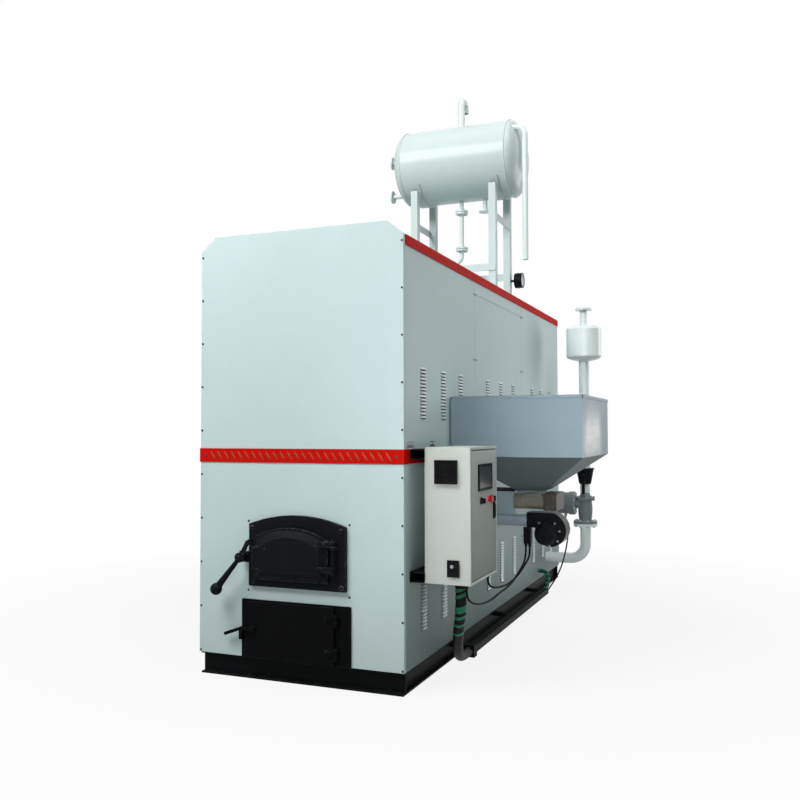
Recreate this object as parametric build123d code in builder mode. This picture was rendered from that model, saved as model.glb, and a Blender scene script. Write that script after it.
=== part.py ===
"""Industrial boiler on a skid, with its fuel hopper, burner, cabinet and expansion tank."""

import os
from math import cos, radians, sin, sqrt, tan

from build123d import *

# Casing: pale steel panels on a black channel skid
CASING_W = 1250.0
CASING_L = 3900.0
ROOF_Z = 2400.0
PANEL_T = 25.0
PANEL_SEAM = 3.0
SEAM_SHARES = (0.323, 0.643)
FASCIA_RISE = 75.0
FASCIA_CHAMFER = 95.0
BAND_Z = 1193.0
BAND_H = 77.0
BAND_T = 4.0
TRIM_H = 55.0
TRIM_T = 5.0
ACCESS_DROP = 137.0
LOUVRE_W = 90.0
LOUVRE_OUT = 6.0
LOUVRE_H = 13.0
LOUVRE_PITCH = 19.0
LOUVRE_COUNT = 15
LOUVRE_ZS = (289.0, 1437.0)
LOUVRE_COLUMN_SHARES = ((0.214, 0.489, 0.754), (0.237, 0.508, 0.788), (0.259, 0.501, 0.746))

# Skid
SKID_INSET = 8.0
SKID_H = 120.0
SKID_FLANGE_W = 38.0
SKID_FLANGE_T = 9.0
SKID_WEB_T = 7.0
CROSS_W = 60.0
CROSS_SHARES = (-0.25, 0.0, 0.25)
FLOOR_T = 6.0

# Clearances
MOVE_GAP = 5.0
PIN_GAP = 0.5
SEAT_GAP = 0.3
OVERRUN = 5.0

# Fire door, its frame and its lever
FIRE_FRAME_X = 5.0
FIRE_FRAME_W = 590.0
FIRE_FRAME_Z = 515.0
FIRE_FRAME_SIDE = 340.0
FIRE_FRAME_RISE = 54.0
FIRE_FRAME_T = 22.0
FIRE_DOOR_X = -21.0
FIRE_DOOR_W = 453.0
FIRE_DOOR_Z = 558.0
FIRE_DOOR_SIDE = 225.0
FIRE_DOOR_RISE = 60.0
FIRE_DOOR_T = 16.0
FIRE_DOME_T = 22.0
FIRE_DOME_INSET = 14.0
FIRE_DOME_SLOPE = 34.0
FIRE_LAP = 38.0
FIRE_PIN_R = 8.0
FIRE_PIN_OUT = 26.0
FIRE_PIN_REACH = 32.0
FIRE_KNUCKLE_R = 17.0
FIRE_KNUCKLE_H = 26.0
FIRE_LUG_H = 14.0
FIRE_HINGE_SHARES = (0.33, 0.93)
FIRE_STRAP_L = 62.0
FIRE_PAD_W = 95.0
FIRE_PAD_H = 120.0
LEVER_REACH = 63.0
LEVER_Z_SHARE = 0.525
LEVER_LUG_H = 60.0
LEVER_HUB_R = 27.0
LEVER_HUB_T = 24.0
LEVER_PIN_R = 9.0
LEVER_NUT_R = 17.0
LEVER_NUT_T = 9.0
LEVER_L = 236.0
LEVER_ANGLE = 230.0
LEVER_ROOT_R = 13.0
LEVER_TIP_R = 20.0
LEVER_BALL_R = 33.0
LEVER_ARM_L = 100.0
LEVER_ARM_ANGLE = 62.0
LEVER_ARM_H = 22.0
KEEPER_R = 11.0

# Ash door, its frame and its latch
ASH_FRAME_X = 5.0
ASH_FRAME_W = 640.0
ASH_FRAME_H = 318.0
ASH_FRAME_T = 10.0
ASH_OPEN_W = 470.0
ASH_OPEN_X = -45.0
ASH_OPEN_Z_INSET = 50.0
ASH_DOOR_W = 548.0
ASH_DOOR_X = -42.0
ASH_DOOR_MARGIN = 8.0
ASH_DOOR_T = 10.0
ASH_PIN_R = 7.0
ASH_PIN_OUT = 15.0
ASH_PIN_REACH = 15.0
ASH_KNUCKLE_R = 11.0
ASH_KNUCKLE_H = 34.0
ASH_LUG_H = 22.0
ASH_HINGE_SHARES = (0.22, 0.80)
LATCH_IN = 56.0
LATCH_Z_SHARE = 0.51
LATCH_HUB_R = 15.0
LATCH_PIN_R = 6.0
LATCH_T = 12.0
LATCH_ARM_L = 70.0
LATCH_ARM_H = 18.0
LATCH_GRIP_L = 112.0
LATCH_GRIP_ANGLE = 200.0
LATCH_KEEPER_W = 20.0
LATCH_KEEPER_H = 46.0

# Firebox and ash pit behind the doors
FIREBOX_W = 480.0
FIREBOX_L = 1500.0
FIREBOX_RISE = 40.0
ASH_LEDGE = 30.0
GRATE_T = 30.0
GRATE_SLOT_W = 14.0
GRATE_SLOT_COUNT = 9
GRATE_ROW_COUNT = 3
GRATE_SLOT_SHARE = 0.82
DEAD_PLATE_L = 120.0

# Control cabinet on its two brackets
CABINET_STAND_OFF = 77.0
CABINET_D = 250.0
CABINET_W = 500.0
CABINET_H = 710.0
CABINET_Z = 570.0
CABINET_BACK = 100.0
CABINET_WALL = 4.0
CABINET_RIM = 14.0
CABINET_DOOR_T = 16.0
CABINET_PIN_R = 4.0
CABINET_PIN_IN = 14.0
CABINET_PIN_L = 12.0
BRACKET_H = 54.0
BRACKET_T = 6.0
BRACKET_OVER = 22.0
BRACKET_LOW_LIFT = 5.0
SCREEN_W = 250.0
SCREEN_H = 142.0
SCREEN_T = 8.0
CONTROL_Z_SHARE = 0.595
SCREEN_Z_SHARE = 0.77
SCREEN_Y_SHARE = 0.52
KNOB_Y_SHARE = 0.38
STOP_Y_SHARE = 0.65
LAMP_Y_SHARE = 0.78
HANDLE_Y_SHARE = 0.86
KNOB_R = 15.0
KNOB_T = 24.0
STOP_R = 20.0
STOP_T = 28.0
HANDLE_W = 24.0
HANDLE_H = 96.0
HANDLE_T = 10.0
HANDLE_Z_SHARE = 0.5
GRILLE_S = 124.0
GRILLE_T = 10.0
GRILLE_X_SHARE = 0.48
GRILLE_Z_SHARE = 0.82
SOCKET_W = 66.0
SOCKET_H = 88.0
SOCKET_T = 7.0
SOCKET_X_SHARE = 0.63
SOCKET_Z_SHARE = 0.12

# Fuel hopper
HOPPER_GAP = 15.0
HOPPER_W = 780.0
HOPPER_L = 915.0
HOPPER_BACK = 724.0
HOPPER_TOP_Z = 1567.0
HOPPER_BOX_H = 354.0
HOPPER_CONE_H = 213.0
HOPPER_WALL = 5.0
THROAT_W = 190.0
THROAT_L = 200.0

# Burner, feed screw, blower and air duct under the hopper
BURNER_W = 200.0
BURNER_H = 150.0
BURNER_FLANGE_W = 260.0
BURNER_FLANGE_T = 14.0
SCREW_R = 58.0
SCREW_DROP = 65.0
GEARBOX_L = 80.0
GEARBOX_W = 222.0
GEARBOX_H = 104.0
FEED_MOTOR_R = 43.0
FEED_MOTOR_OFF = 110.0
FEED_COWL_L = 58.0
FEED_COWL_T = 3.0
AIR_DUCT_R = 37.0
AIR_DUCT_OFF = 30.0
BLOWER_R = 110.0
BLOWER_D = 130.0
SCROLL_SHARE = 0.8
BLOWER_OUT_L = 140.0
BLOWER_OUT_H = 92.0
BLOWER_DROP = 55.0
BLOWER_MOTOR_R = 66.0
BLOWER_MOTOR_L = 72.0
BLOWER_MOTOR_ROUND = 22.0
BLOWER_MOTOR_ASIDE = 15.0
BLOWER_MOTOR_DROP = 15.0
PLUG_W = 46.0
PLUG_H = 100.0
PLUG_D = 34.0

# Return pipe, pump, valve, riser and separator
PIPE_R = 44.5
PIPE_BEND = 130.0
PIPE_OUT = 340.0
PIPE_BACK = 3370.0
PIPE_Z = 262.0
LINE_FLANGE_R = 100.0
LINE_FLANGE_T = 22.0
RETURN_TOP_Z = 588.0
PUMP_H = 262.0
PUMP_BODY_R = 58.0
PUMP_AXIS_SHARE = 0.65
PUMP_PORT_L = 110.0
PUMP_VOLUTE_R = 92.0
PUMP_VOLUTE_L = 120.0
PUMP_MOTOR_R = 76.0
PUMP_MOTOR_L = 64.0
SLEEVE_R = 38.0
SLEEVE_H = 78.0
VALVE_H = 135.0
VALVE_FOOT_R = 50.0
VALVE_HEAD_R = 76.0
VALVE_STEM_R = 8.0
VALVE_LEVER_L = 150.0
VALVE_LEVER_W = 26.0
VALVE_LEVER_T = 9.0
VALVE_LEVER_HUB_R = 17.0
SEPARATOR_R = 148.0
SEPARATOR_Z = 1965.0
SEPARATOR_H = 320.0
SEPARATOR_DISH = 46.0
SEPARATOR_NECK_R = 30.0
SEPARATOR_NECK_H = 140.0
NECK_FLANGE_R = 70.0
NECK_FLANGE_T = 16.0
NECK_BOLT_R = 9.0
NECK_BOLT_PCD = 100.0
BOLT_COUNT = 4
NECK_BORE_R = 20.0
NECK_BORE_L = 60.0

# Expansion tank and its stand on the roof
TANK_BACK = 2935.0
TANK_R = 320.0
TANK_L = 918.0
TANK_DISH = 115.0
TANK_WALL = 6.0
TANK_RISE = 1275.0
LEG_SPAN_X = 688.0
LEG_SPAN_Y = 522.0
LEG_S = 60.0
LEG_T = 8.0
STRAP_T = 10.0
STRAP_W = 90.0
STRAP_RISE = 60.0
BAR_H = 58.0
BAR_T = 8.0
LOW_BAR_RISE = 286.0
BRACE_RISE = 715.0
VENT_R = 30.0
VENT_RISE = 255.0
VENT_BEND = 58.0
VENT_BEND_SHARE = 0.95
VENT_DROP = 22.0
VENT_WALL = 5.0
OVERFLOW_R = 24.0
OVERFLOW_UP = 205.0
OVERFLOW_ASIDE = 180.0
OVERFLOW_OUT = 32.0
OVERFLOW_END_RISE = 370.0
OVERFLOW_BEND = 75.0
EXPANSION_R = 17.0
EXPANSION_RISE = 420.0
EXPANSION_OUT = 160.0
EXPANSION_BEND = 60.0
EXPANSION_FLANGE_R = 52.0
EXPANSION_FLANGE_T = 14.0
EXPANSION_FLANGE_SHARES = (0.18, 0.78)
DRAIN_X = 212.0
DRAIN_R = 20.0
DRAIN_L = 112.0
DRAIN_FLANGE_R = 55.0
DRAIN_FLANGE_T = 14.0
NOZZLE_UPS = (-215.0, 90.0)
NOZZLE_OUT = 78.0
NOZZLE_BOLT_R = 6.0
NOZZLE_BOLT_PCD = 80.0
GAUGE_R = 65.0
GAUGE_T = 62.0
GAUGE_STEM_R = 10.0
GAUGE_STEM_L = 40.0
GAUGE_RISE = 273.0

# Cable channel beside the skid, and the cords
CHANNEL_W = 54.0
CHANNEL_H = 40.0
CHANNEL_LIFT = 40.0
CHANNEL_GAP = 79.0
CHANNEL_BACK = 780.0
CHANNEL_L = 2080.0
CHANNEL_ARM_W = 50.0
CHANNEL_ARM_H = 22.0
CHANNEL_ARM_SHARES = (0.045, 0.5, 0.97)
COLLAR_S = 70.0
COLLAR_L = 60.0
CONDUIT_D = 58.0
CONDUIT_X_SHARE = 0.664
CONDUIT_Y_SHARE = 0.2
CONDUIT_LEAD = 90.0
CONDUIT_SHARES = (
    (0.086, -0.008, 0.089),
    (0.224, -0.029, 0.145),
    (0.388, -0.040, 0.170),
    (0.571, -0.043, 0.166),
    (0.776, -0.031, 0.112),
)
CABLE_D = 12.0
CABLE_LEAD = 38.0
BURNER_CABLE_X_SHARE = 0.88
BURNER_CABLE_Y_SHARE = 0.82
BURNER_CABLE_SHARES = (
    (0.030, 0.003, 0.055),
    (0.109, 0.007, 0.097),
    (0.227, 0.013, 0.131),
    (0.387, 0.019, 0.160),
    (0.556, 0.024, 0.156),
    (0.707, 0.028, 0.121),
    (0.838, 0.022, 0.088),
    (0.929, 0.012, 0.072),
    (0.983, 0.003, 0.043),
)
FEEDER_CABLE_X_SHARE = 0.82
FEEDER_CABLE_Y_SHARE = 0.14
FEEDER_CABLE_SHARES = (
    (0.015, -0.001, 0.042),
    (0.059, -0.001, 0.078),
    (0.139, -0.004, 0.112),
    (0.257, -0.006, 0.143),
    (0.375, -0.005, 0.157),
    (0.471, -0.005, 0.156),
    (0.557, -0.005, 0.154),
    (0.642, -0.002, 0.154),
    (0.728, 0.003, 0.142),
    (0.814, 0.008, 0.114),
    (0.894, 0.008, 0.087),
    (0.955, 0.004, 0.070),
    (0.989, 0.001, 0.037),
)
PUMP_CABLE_SHARES = (
    (0.078, 0.004, 0.033),
    (0.153, 0.027, 0.040),
    (0.248, 0.064, 0.025),
    (0.364, 0.092, -0.006),
    (0.513, 0.097, -0.021),
    (0.682, 0.087, -0.021),
    (0.852, 0.058, 0.008),
    (0.964, 0.020, 0.024),
)
WRAP_D = 34.0
WRAP_AHEAD = 200.0
WRAP_Z = 186.0
WRAP_LEAD = 50.0
WRAP_SHARES = ((0.172, 0.138, 0.062), (0.517, 0.120, 0.116))
GLAND_R = 13.0
GLAND_H = 20.0
CORD_BEND_SHARE = 0.45

# Derived casing planes
SIDE_X = CASING_W / 2
FRONT_Y = -CASING_L / 2
REAR_Y = CASING_L / 2
INNER_X = SIDE_X - PANEL_T
INNER_FRONT_Y = FRONT_Y + PANEL_T
INNER_REAR_Y = REAR_Y - PANEL_T
CASE_Z = SKID_H
WALL_TOP_Z = ROOF_Z - PANEL_T
BAND_MID_Z = BAND_Z + BAND_H / 2
BAND_TOP_Z = BAND_Z + BAND_H
FLOOR_TOP_Z = SKID_H + FLOOR_T


def slab(xs, ys, zs, mode=Mode.ADD):
    """Add a box between two limits on each axis."""
    with Locations((sum(xs) / 2, sum(ys) / 2, sum(zs) / 2)):
        Box(xs[1] - xs[0], ys[1] - ys[0], zs[1] - zs[0], mode=mode)


def facing_front(x, y, z):
    """Plane seen from the front, with its normal towards the viewer."""
    return Plane(origin=(x, y, z), x_dir=(1, 0, 0), z_dir=(0, -1, 0))


def facing_right(x, y, z):
    """Plane seen from the right-hand side, with its normal to the right."""
    return Plane(origin=(x, y, z), x_dir=(0, 1, 0), z_dir=(1, 0, 0))


def facing_left(x, y, z):
    """Plane seen from the left-hand side, with its normal to the left."""
    return Plane(origin=(x, y, z), x_dir=(0, -1, 0), z_dir=(-1, 0, 0))


def facing_up(x, y, z):
    """Level plane with its normal up."""
    return Plane(origin=(x, y, z), x_dir=(1, 0, 0), z_dir=(0, 0, 1))


def facing_down(x, y, z):
    """Level plane with its normal down."""
    return Plane(origin=(x, y, z), x_dir=(1, 0, 0), z_dir=(0, 0, -1))


def disc(plane, radius, length, mode=Mode.ADD):
    """Add a cylinder that starts on a plane and runs along its normal."""
    with BuildSketch(plane) as outline:
        Circle(radius)
    extrude(outline.sketch, amount=length, mode=mode)


def arch(width, side, rise):
    """Draw a rectangle with an arched top, its foot on the sketch origin."""
    half = width / 2
    with BuildLine() as outline:
        Polyline((-half, side), (-half, 0), (half, 0), (half, side))
        ThreePointArc((half, side), (0, side + rise), (-half, side))
    make_face(outline.edges())


def bar_outline(length, height, angle):
    """Draw a straight bar that starts at the sketch origin and points at an angle."""
    middle = (cos(radians(angle)) * length / 2, sin(radians(angle)) * length / 2, 0)
    with Locations(Location(middle, (0, 0, angle))):
        Rectangle(length, height)


def bolt_ring(plane, pcd, radius, depth):
    """Cut a ring of bolt holes below a plane."""
    with BuildSketch(plane) as holes:
        with PolarLocations(pcd / 2, BOLT_COUNT, start_angle=180 / BOLT_COUNT):
            Circle(radius)
    extrude(holes.sketch, amount=-depth, mode=Mode.SUBTRACT)


def bend_radii(points):
    """Give each corner of a cord the largest radius its runs allow."""
    radii = []
    for before, corner, after in zip(points, points[1:], points[2:]):
        run_in = Vector(*corner) - Vector(*before)
        run_out = Vector(*after) - Vector(*corner)
        turn = radians(run_in.get_angle(run_out))
        radii.append(CORD_BEND_SHARE * min(run_in.length, run_out.length) / tan(turn / 2))
    return radii


def hang(start, lead_out, end, lead_in, shares):
    """Points of a cord: a lead square to each end, and rows of along, sideways and down shares."""
    first = Vector(*start) + Vector(*lead_out)
    last = Vector(*end) + Vector(*lead_in)
    step = last - first
    points = [Vector(*start), first]
    for along, aside, down in shares:
        points.append(first + step * along + Vector(aside, 0, -down) * step.length)
    points += [last, Vector(*end)]
    return [tuple(point) for point in points]


def tube(points, diameter, name):
    """Sweep a cord of straight runs and arcs through its points."""
    radii = bend_radii(points)
    with BuildLine() as route:
        FilletPolyline(*points, radius=radii)
    with BuildSketch(Plane(origin=route.line @ 0, z_dir=route.line % 0)) as section:
        Circle(diameter / 2)
    sweep(section.sketch, path=route.line)
    length = sum(edge.length for edge in route.edges())
    print(name, "length", round(length), "radii", [round(radius) for radius in radii])


# Skid: channel bars with their open side outwards, and cross members between
SKID_W = CASING_W - 2 * SKID_INSET
SKID_L = CASING_L - 2 * SKID_INSET
SKID_IN_W = SKID_W - 2 * SKID_FLANGE_W
SKID_IN_L = SKID_L - 2 * SKID_FLANGE_W
SKID_POCKET = SKID_FLANGE_W - SKID_WEB_T
POCKET_ZS = (SKID_FLANGE_T, SKID_H - SKID_FLANGE_T)
with BuildPart() as skid_sides:
    for side in (-1, 1):
        outer = side * SKID_W / 2
        slab(sorted((outer, side * SKID_IN_W / 2)), (-SKID_IN_L / 2, SKID_IN_L / 2), (0, SKID_H))
        pocket = sorted((outer + side * OVERRUN, outer - side * SKID_POCKET))
        slab(pocket, (-SKID_L / 2, SKID_L / 2), POCKET_ZS, mode=Mode.SUBTRACT)

with BuildPart() as skid_members:
    for end in (-1, 1):
        outer = end * SKID_L / 2
        slab((-SKID_W / 2, SKID_W / 2), sorted((outer, end * SKID_IN_L / 2)), (0, SKID_H))
        pocket = sorted((outer + end * OVERRUN, outer - end * SKID_POCKET))
        slab((-SKID_W, SKID_W), pocket, POCKET_ZS, mode=Mode.SUBTRACT)
    for share in CROSS_SHARES:
        mid = share * SKID_L
        slab((-SKID_IN_W / 2, SKID_IN_W / 2), (mid - CROSS_W / 2, mid + CROSS_W / 2), (0, SKID_H))

with BuildPart() as floor_plate:
    slab((-INNER_X, INNER_X), (INNER_FRONT_Y, INNER_REAR_Y), (SKID_H, FLOOR_TOP_Z))

# Door openings, shared by the panel, the frames and the firebox
FIRE_OPEN_W = FIRE_DOOR_W - 2 * FIRE_LAP
FIRE_OPEN_Z = FIRE_DOOR_Z + FIRE_LAP
FIRE_OPEN_SIDE = FIRE_DOOR_SIDE - 2 * FIRE_LAP
ASH_OPEN_Z = CASE_Z + ASH_OPEN_Z_INSET
ASH_OPEN_TOP_Z = CASE_Z + ASH_FRAME_H - ASH_OPEN_Z_INSET


def cut_openings():
    """Cut the fire and ash openings through a front sheet."""
    with BuildSketch(facing_front(FIRE_DOOR_X, INNER_FRONT_Y + OVERRUN, FIRE_OPEN_Z)) as opening:
        arch(FIRE_OPEN_W, FIRE_OPEN_SIDE, FIRE_DOOR_RISE)
    extrude(opening.sketch, amount=PANEL_T + FIRE_FRAME_T + 2 * OVERRUN, mode=Mode.SUBTRACT)
    slab(
        (ASH_OPEN_X - ASH_OPEN_W / 2, ASH_OPEN_X + ASH_OPEN_W / 2),
        (FRONT_Y - FIRE_FRAME_T - OVERRUN, INNER_FRONT_Y + OVERRUN),
        (ASH_OPEN_Z, ASH_OPEN_TOP_Z),
        mode=Mode.SUBTRACT,
    )


# Casing panels
with BuildPart() as front_lower_panel:
    slab((-SIDE_X, SIDE_X), (FRONT_Y, INNER_FRONT_Y), (CASE_Z, BAND_MID_Z))
    cut_openings()

FASCIA_TOP_Z = ROOF_Z + FASCIA_RISE
with BuildPart() as front_upper_panel:
    with BuildSketch(facing_front(0, INNER_FRONT_Y, 0)):
        with BuildLine():
            Polyline(
                (-SIDE_X, BAND_MID_Z),
                (SIDE_X, BAND_MID_Z),
                (SIDE_X, ROOF_Z),
                (SIDE_X - FASCIA_CHAMFER, FASCIA_TOP_Z),
                (-SIDE_X + FASCIA_CHAMFER, FASCIA_TOP_Z),
                (-SIDE_X, ROOF_Z),
                close=True,
            )
        make_face()
    extrude(amount=PANEL_T)

SEAM_YS = [FRONT_Y + share * CASING_L for share in SEAM_SHARES]
PANEL_STARTS = [INNER_FRONT_Y] + [seam + PANEL_SEAM / 2 for seam in SEAM_YS]
PANEL_ENDS = [seam - PANEL_SEAM / 2 for seam in SEAM_YS] + [INNER_REAR_Y]
ACCESS_Z = ROOF_Z - ACCESS_DROP


def louvres(column_y):
    """Add the lower and upper louvres of one column to a right-hand panel."""
    with BuildSketch(facing_front(SIDE_X, column_y + LOUVRE_W / 2, 0)) as comb:
        for foot_z in LOUVRE_ZS:
            with Locations(*[(0, foot_z + row * LOUVRE_PITCH) for row in range(LOUVRE_COUNT)]):
                Polygon((-OVERRUN, 0), (LOUVRE_OUT, 0), (0, LOUVRE_H), (-OVERRUN, LOUVRE_H), align=None)
    extrude(comb.sketch, amount=LOUVRE_W)


def side_panel(start, end, shares):
    """Build one right-hand panel with its columns of louvres."""
    with BuildPart() as panel:
        slab((INNER_X, SIDE_X), (start, end), (CASE_Z, WALL_TOP_Z))
        for share in shares:
            louvres(start + share * (end - start))
    return panel.part


RIGHT_PANELS = [side_panel(*row) for row in zip(PANEL_STARTS, PANEL_ENDS, LOUVRE_COLUMN_SHARES)]
with BuildPart() as side_panels:
    add(RIGHT_PANELS)
    slab(
        (SIDE_X - PANEL_SEAM, SIDE_X + OVERRUN),
        (SEAM_YS[0], SEAM_YS[1]),
        (ACCESS_Z, ACCESS_Z + PANEL_SEAM),
        mode=Mode.SUBTRACT,
    )
    mirror(about=Plane.YZ)

with BuildPart() as rear_panel:
    slab((-SIDE_X, SIDE_X), (INNER_REAR_Y, REAR_Y), (CASE_Z, WALL_TOP_Z))

with BuildPart() as roof_panel:
    slab((-SIDE_X, SIDE_X), (INNER_FRONT_Y, REAR_Y), (WALL_TOP_Z, ROOF_Z))

with BuildPart() as red_bands:
    with BuildSketch(Plane.XY.offset(BAND_Z)):
        Rectangle(CASING_W + 2 * BAND_T, CASING_L + 2 * BAND_T)
        Rectangle(CASING_W, CASING_L, mode=Mode.SUBTRACT)
    extrude(amount=BAND_H)
    with BuildSketch(Plane.XY.offset(ROOF_Z - TRIM_H)):
        with BuildLine():
            Polyline(
                (SIDE_X, INNER_FRONT_Y),
                (SIDE_X + TRIM_T, INNER_FRONT_Y),
                (SIDE_X + TRIM_T, REAR_Y + TRIM_T),
                (-SIDE_X - TRIM_T, REAR_Y + TRIM_T),
                (-SIDE_X - TRIM_T, INNER_FRONT_Y),
                (-SIDE_X, INNER_FRONT_Y),
                (-SIDE_X, REAR_Y),
                (SIDE_X, REAR_Y),
                close=True,
            )
        make_face()
    extrude(amount=TRIM_H)

# Furnace block, crown, firebox walls, ash pit walls and grate
FIREBOX_END_Y = INNER_FRONT_Y + FIREBOX_L
FIREBOX_LEFT_X = FIRE_DOOR_X - FIREBOX_W / 2
FIREBOX_RIGHT_X = FIRE_DOOR_X + FIREBOX_W / 2
FIREBOX_TOP_Z = FIRE_OPEN_Z + FIRE_OPEN_SIDE + FIRE_DOOR_RISE + FIREBOX_RISE
GRATE_TOP_Z = FIRE_OPEN_Z
GRATE_Z = GRATE_TOP_Z - GRATE_T
with BuildPart() as furnace_block:
    slab((-INNER_X, INNER_X), (FIREBOX_END_Y, INNER_REAR_Y), (FLOOR_TOP_Z, WALL_TOP_Z))

with BuildPart() as furnace_crown:
    slab((-INNER_X, INNER_X), (INNER_FRONT_Y, FIREBOX_END_Y), (FIREBOX_TOP_Z, WALL_TOP_Z))

with BuildPart() as firebox_walls:
    slab((-INNER_X, FIREBOX_LEFT_X), (INNER_FRONT_Y, FIREBOX_END_Y), (GRATE_Z, FIREBOX_TOP_Z))
    slab((FIREBOX_RIGHT_X, INNER_X), (INNER_FRONT_Y, FIREBOX_END_Y), (GRATE_Z, FIREBOX_TOP_Z))

with BuildPart() as ash_pit_walls:
    slab((-INNER_X, FIREBOX_LEFT_X + ASH_LEDGE), (INNER_FRONT_Y, FIREBOX_END_Y), (FLOOR_TOP_Z, GRATE_Z))
    slab((FIREBOX_RIGHT_X - ASH_LEDGE, INNER_X), (INNER_FRONT_Y, FIREBOX_END_Y), (FLOOR_TOP_Z, GRATE_Z))

GRATE_START_Y = INNER_FRONT_Y + DEAD_PLATE_L
GRATE_L = FIREBOX_END_Y - GRATE_START_Y
GRATE_PITCH_X = (FIREBOX_W - 2 * ASH_LEDGE) / GRATE_SLOT_COUNT
GRATE_PITCH_Y = GRATE_L / GRATE_ROW_COUNT
with BuildPart() as grate:
    slab((FIREBOX_LEFT_X, FIREBOX_RIGHT_X), (INNER_FRONT_Y, FIREBOX_END_Y), (GRATE_Z, GRATE_TOP_Z))
    with BuildSketch(facing_up(FIRE_DOOR_X, GRATE_START_Y + GRATE_L / 2, GRATE_Z)):
        with GridLocations(GRATE_PITCH_X, GRATE_PITCH_Y, GRATE_SLOT_COUNT, GRATE_ROW_COUNT):
            Rectangle(GRATE_SLOT_W, GRATE_PITCH_Y * GRATE_SLOT_SHARE)
    extrude(amount=GRATE_T, mode=Mode.SUBTRACT)

# Fire-door frame with its hinge lugs, pin and keeper
FIRE_FACE_Y = FRONT_Y - FIRE_FRAME_T
FIRE_DOOR_BACK_Y = FIRE_FACE_Y - MOVE_GAP
FIRE_DOOR_FACE_Y = FIRE_DOOR_BACK_Y - FIRE_DOOR_T
FIRE_DOME_FACE_Y = FIRE_DOOR_FACE_Y - FIRE_DOME_T
FIRE_DOOR_RIGHT_X = FIRE_DOOR_X + FIRE_DOOR_W / 2
FIRE_DOOR_LEFT_X = FIRE_DOOR_X - FIRE_DOOR_W / 2
FIRE_PIN_X = FIRE_DOOR_RIGHT_X + FIRE_PIN_REACH
FIRE_PIN_Y = FIRE_FACE_Y - FIRE_PIN_OUT
FIRE_HINGE_ZS = [FIRE_DOOR_Z + share * FIRE_DOOR_SIDE for share in FIRE_HINGE_SHARES]
LEVER_X = FIRE_DOOR_LEFT_X - LEVER_REACH
LEVER_Z = FIRE_DOOR_Z + LEVER_Z_SHARE * FIRE_DOOR_SIDE
LEVER_BACK_Y = FIRE_DOME_FACE_Y - MOVE_GAP
LEVER_FACE_Y = LEVER_BACK_Y - LEVER_HUB_T
ARM_TIP_X = LEVER_X + LEVER_ARM_L * cos(radians(LEVER_ARM_ANGLE))
ARM_TIP_Z = LEVER_Z + LEVER_ARM_L * sin(radians(LEVER_ARM_ANGLE))


def hinge_lug(pin_x, pin_y, wall_y, radius, foot_z, height):
    """Add a lug that reaches from a wall to a hinge pin."""
    with BuildSketch(facing_up(pin_x, pin_y, foot_z)) as outline:
        Circle(radius)
        with Locations((0, (wall_y - pin_y) / 2)):
            Rectangle(2 * radius, wall_y - pin_y)
    extrude(outline.sketch, amount=height)


with BuildPart() as fire_door_frame:
    with BuildSketch(facing_front(FIRE_FRAME_X, FRONT_Y, FIRE_FRAME_Z)):
        arch(FIRE_FRAME_W, FIRE_FRAME_SIDE, FIRE_FRAME_RISE)
    extrude(amount=FIRE_FRAME_T)
    cut_openings()
    for middle in FIRE_HINGE_ZS:
        lug_z = middle - FIRE_KNUCKLE_H / 2 - PIN_GAP - FIRE_LUG_H
        hinge_lug(FIRE_PIN_X, FIRE_PIN_Y, FIRE_FACE_Y, FIRE_KNUCKLE_R, lug_z, FIRE_LUG_H)
    pin_foot = FIRE_HINGE_ZS[0] - FIRE_KNUCKLE_H / 2 - PIN_GAP - FIRE_LUG_H / 2
    pin_head = FIRE_HINGE_ZS[1] + FIRE_KNUCKLE_H / 2 + FIRE_PIN_R
    disc(facing_up(FIRE_PIN_X, FIRE_PIN_Y, pin_foot), FIRE_PIN_R, pin_head - pin_foot)
    disc(facing_front(ARM_TIP_X, FIRE_FACE_Y, ARM_TIP_Z), KEEPER_R, FIRE_FACE_Y - LEVER_BACK_Y - MOVE_GAP)

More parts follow.
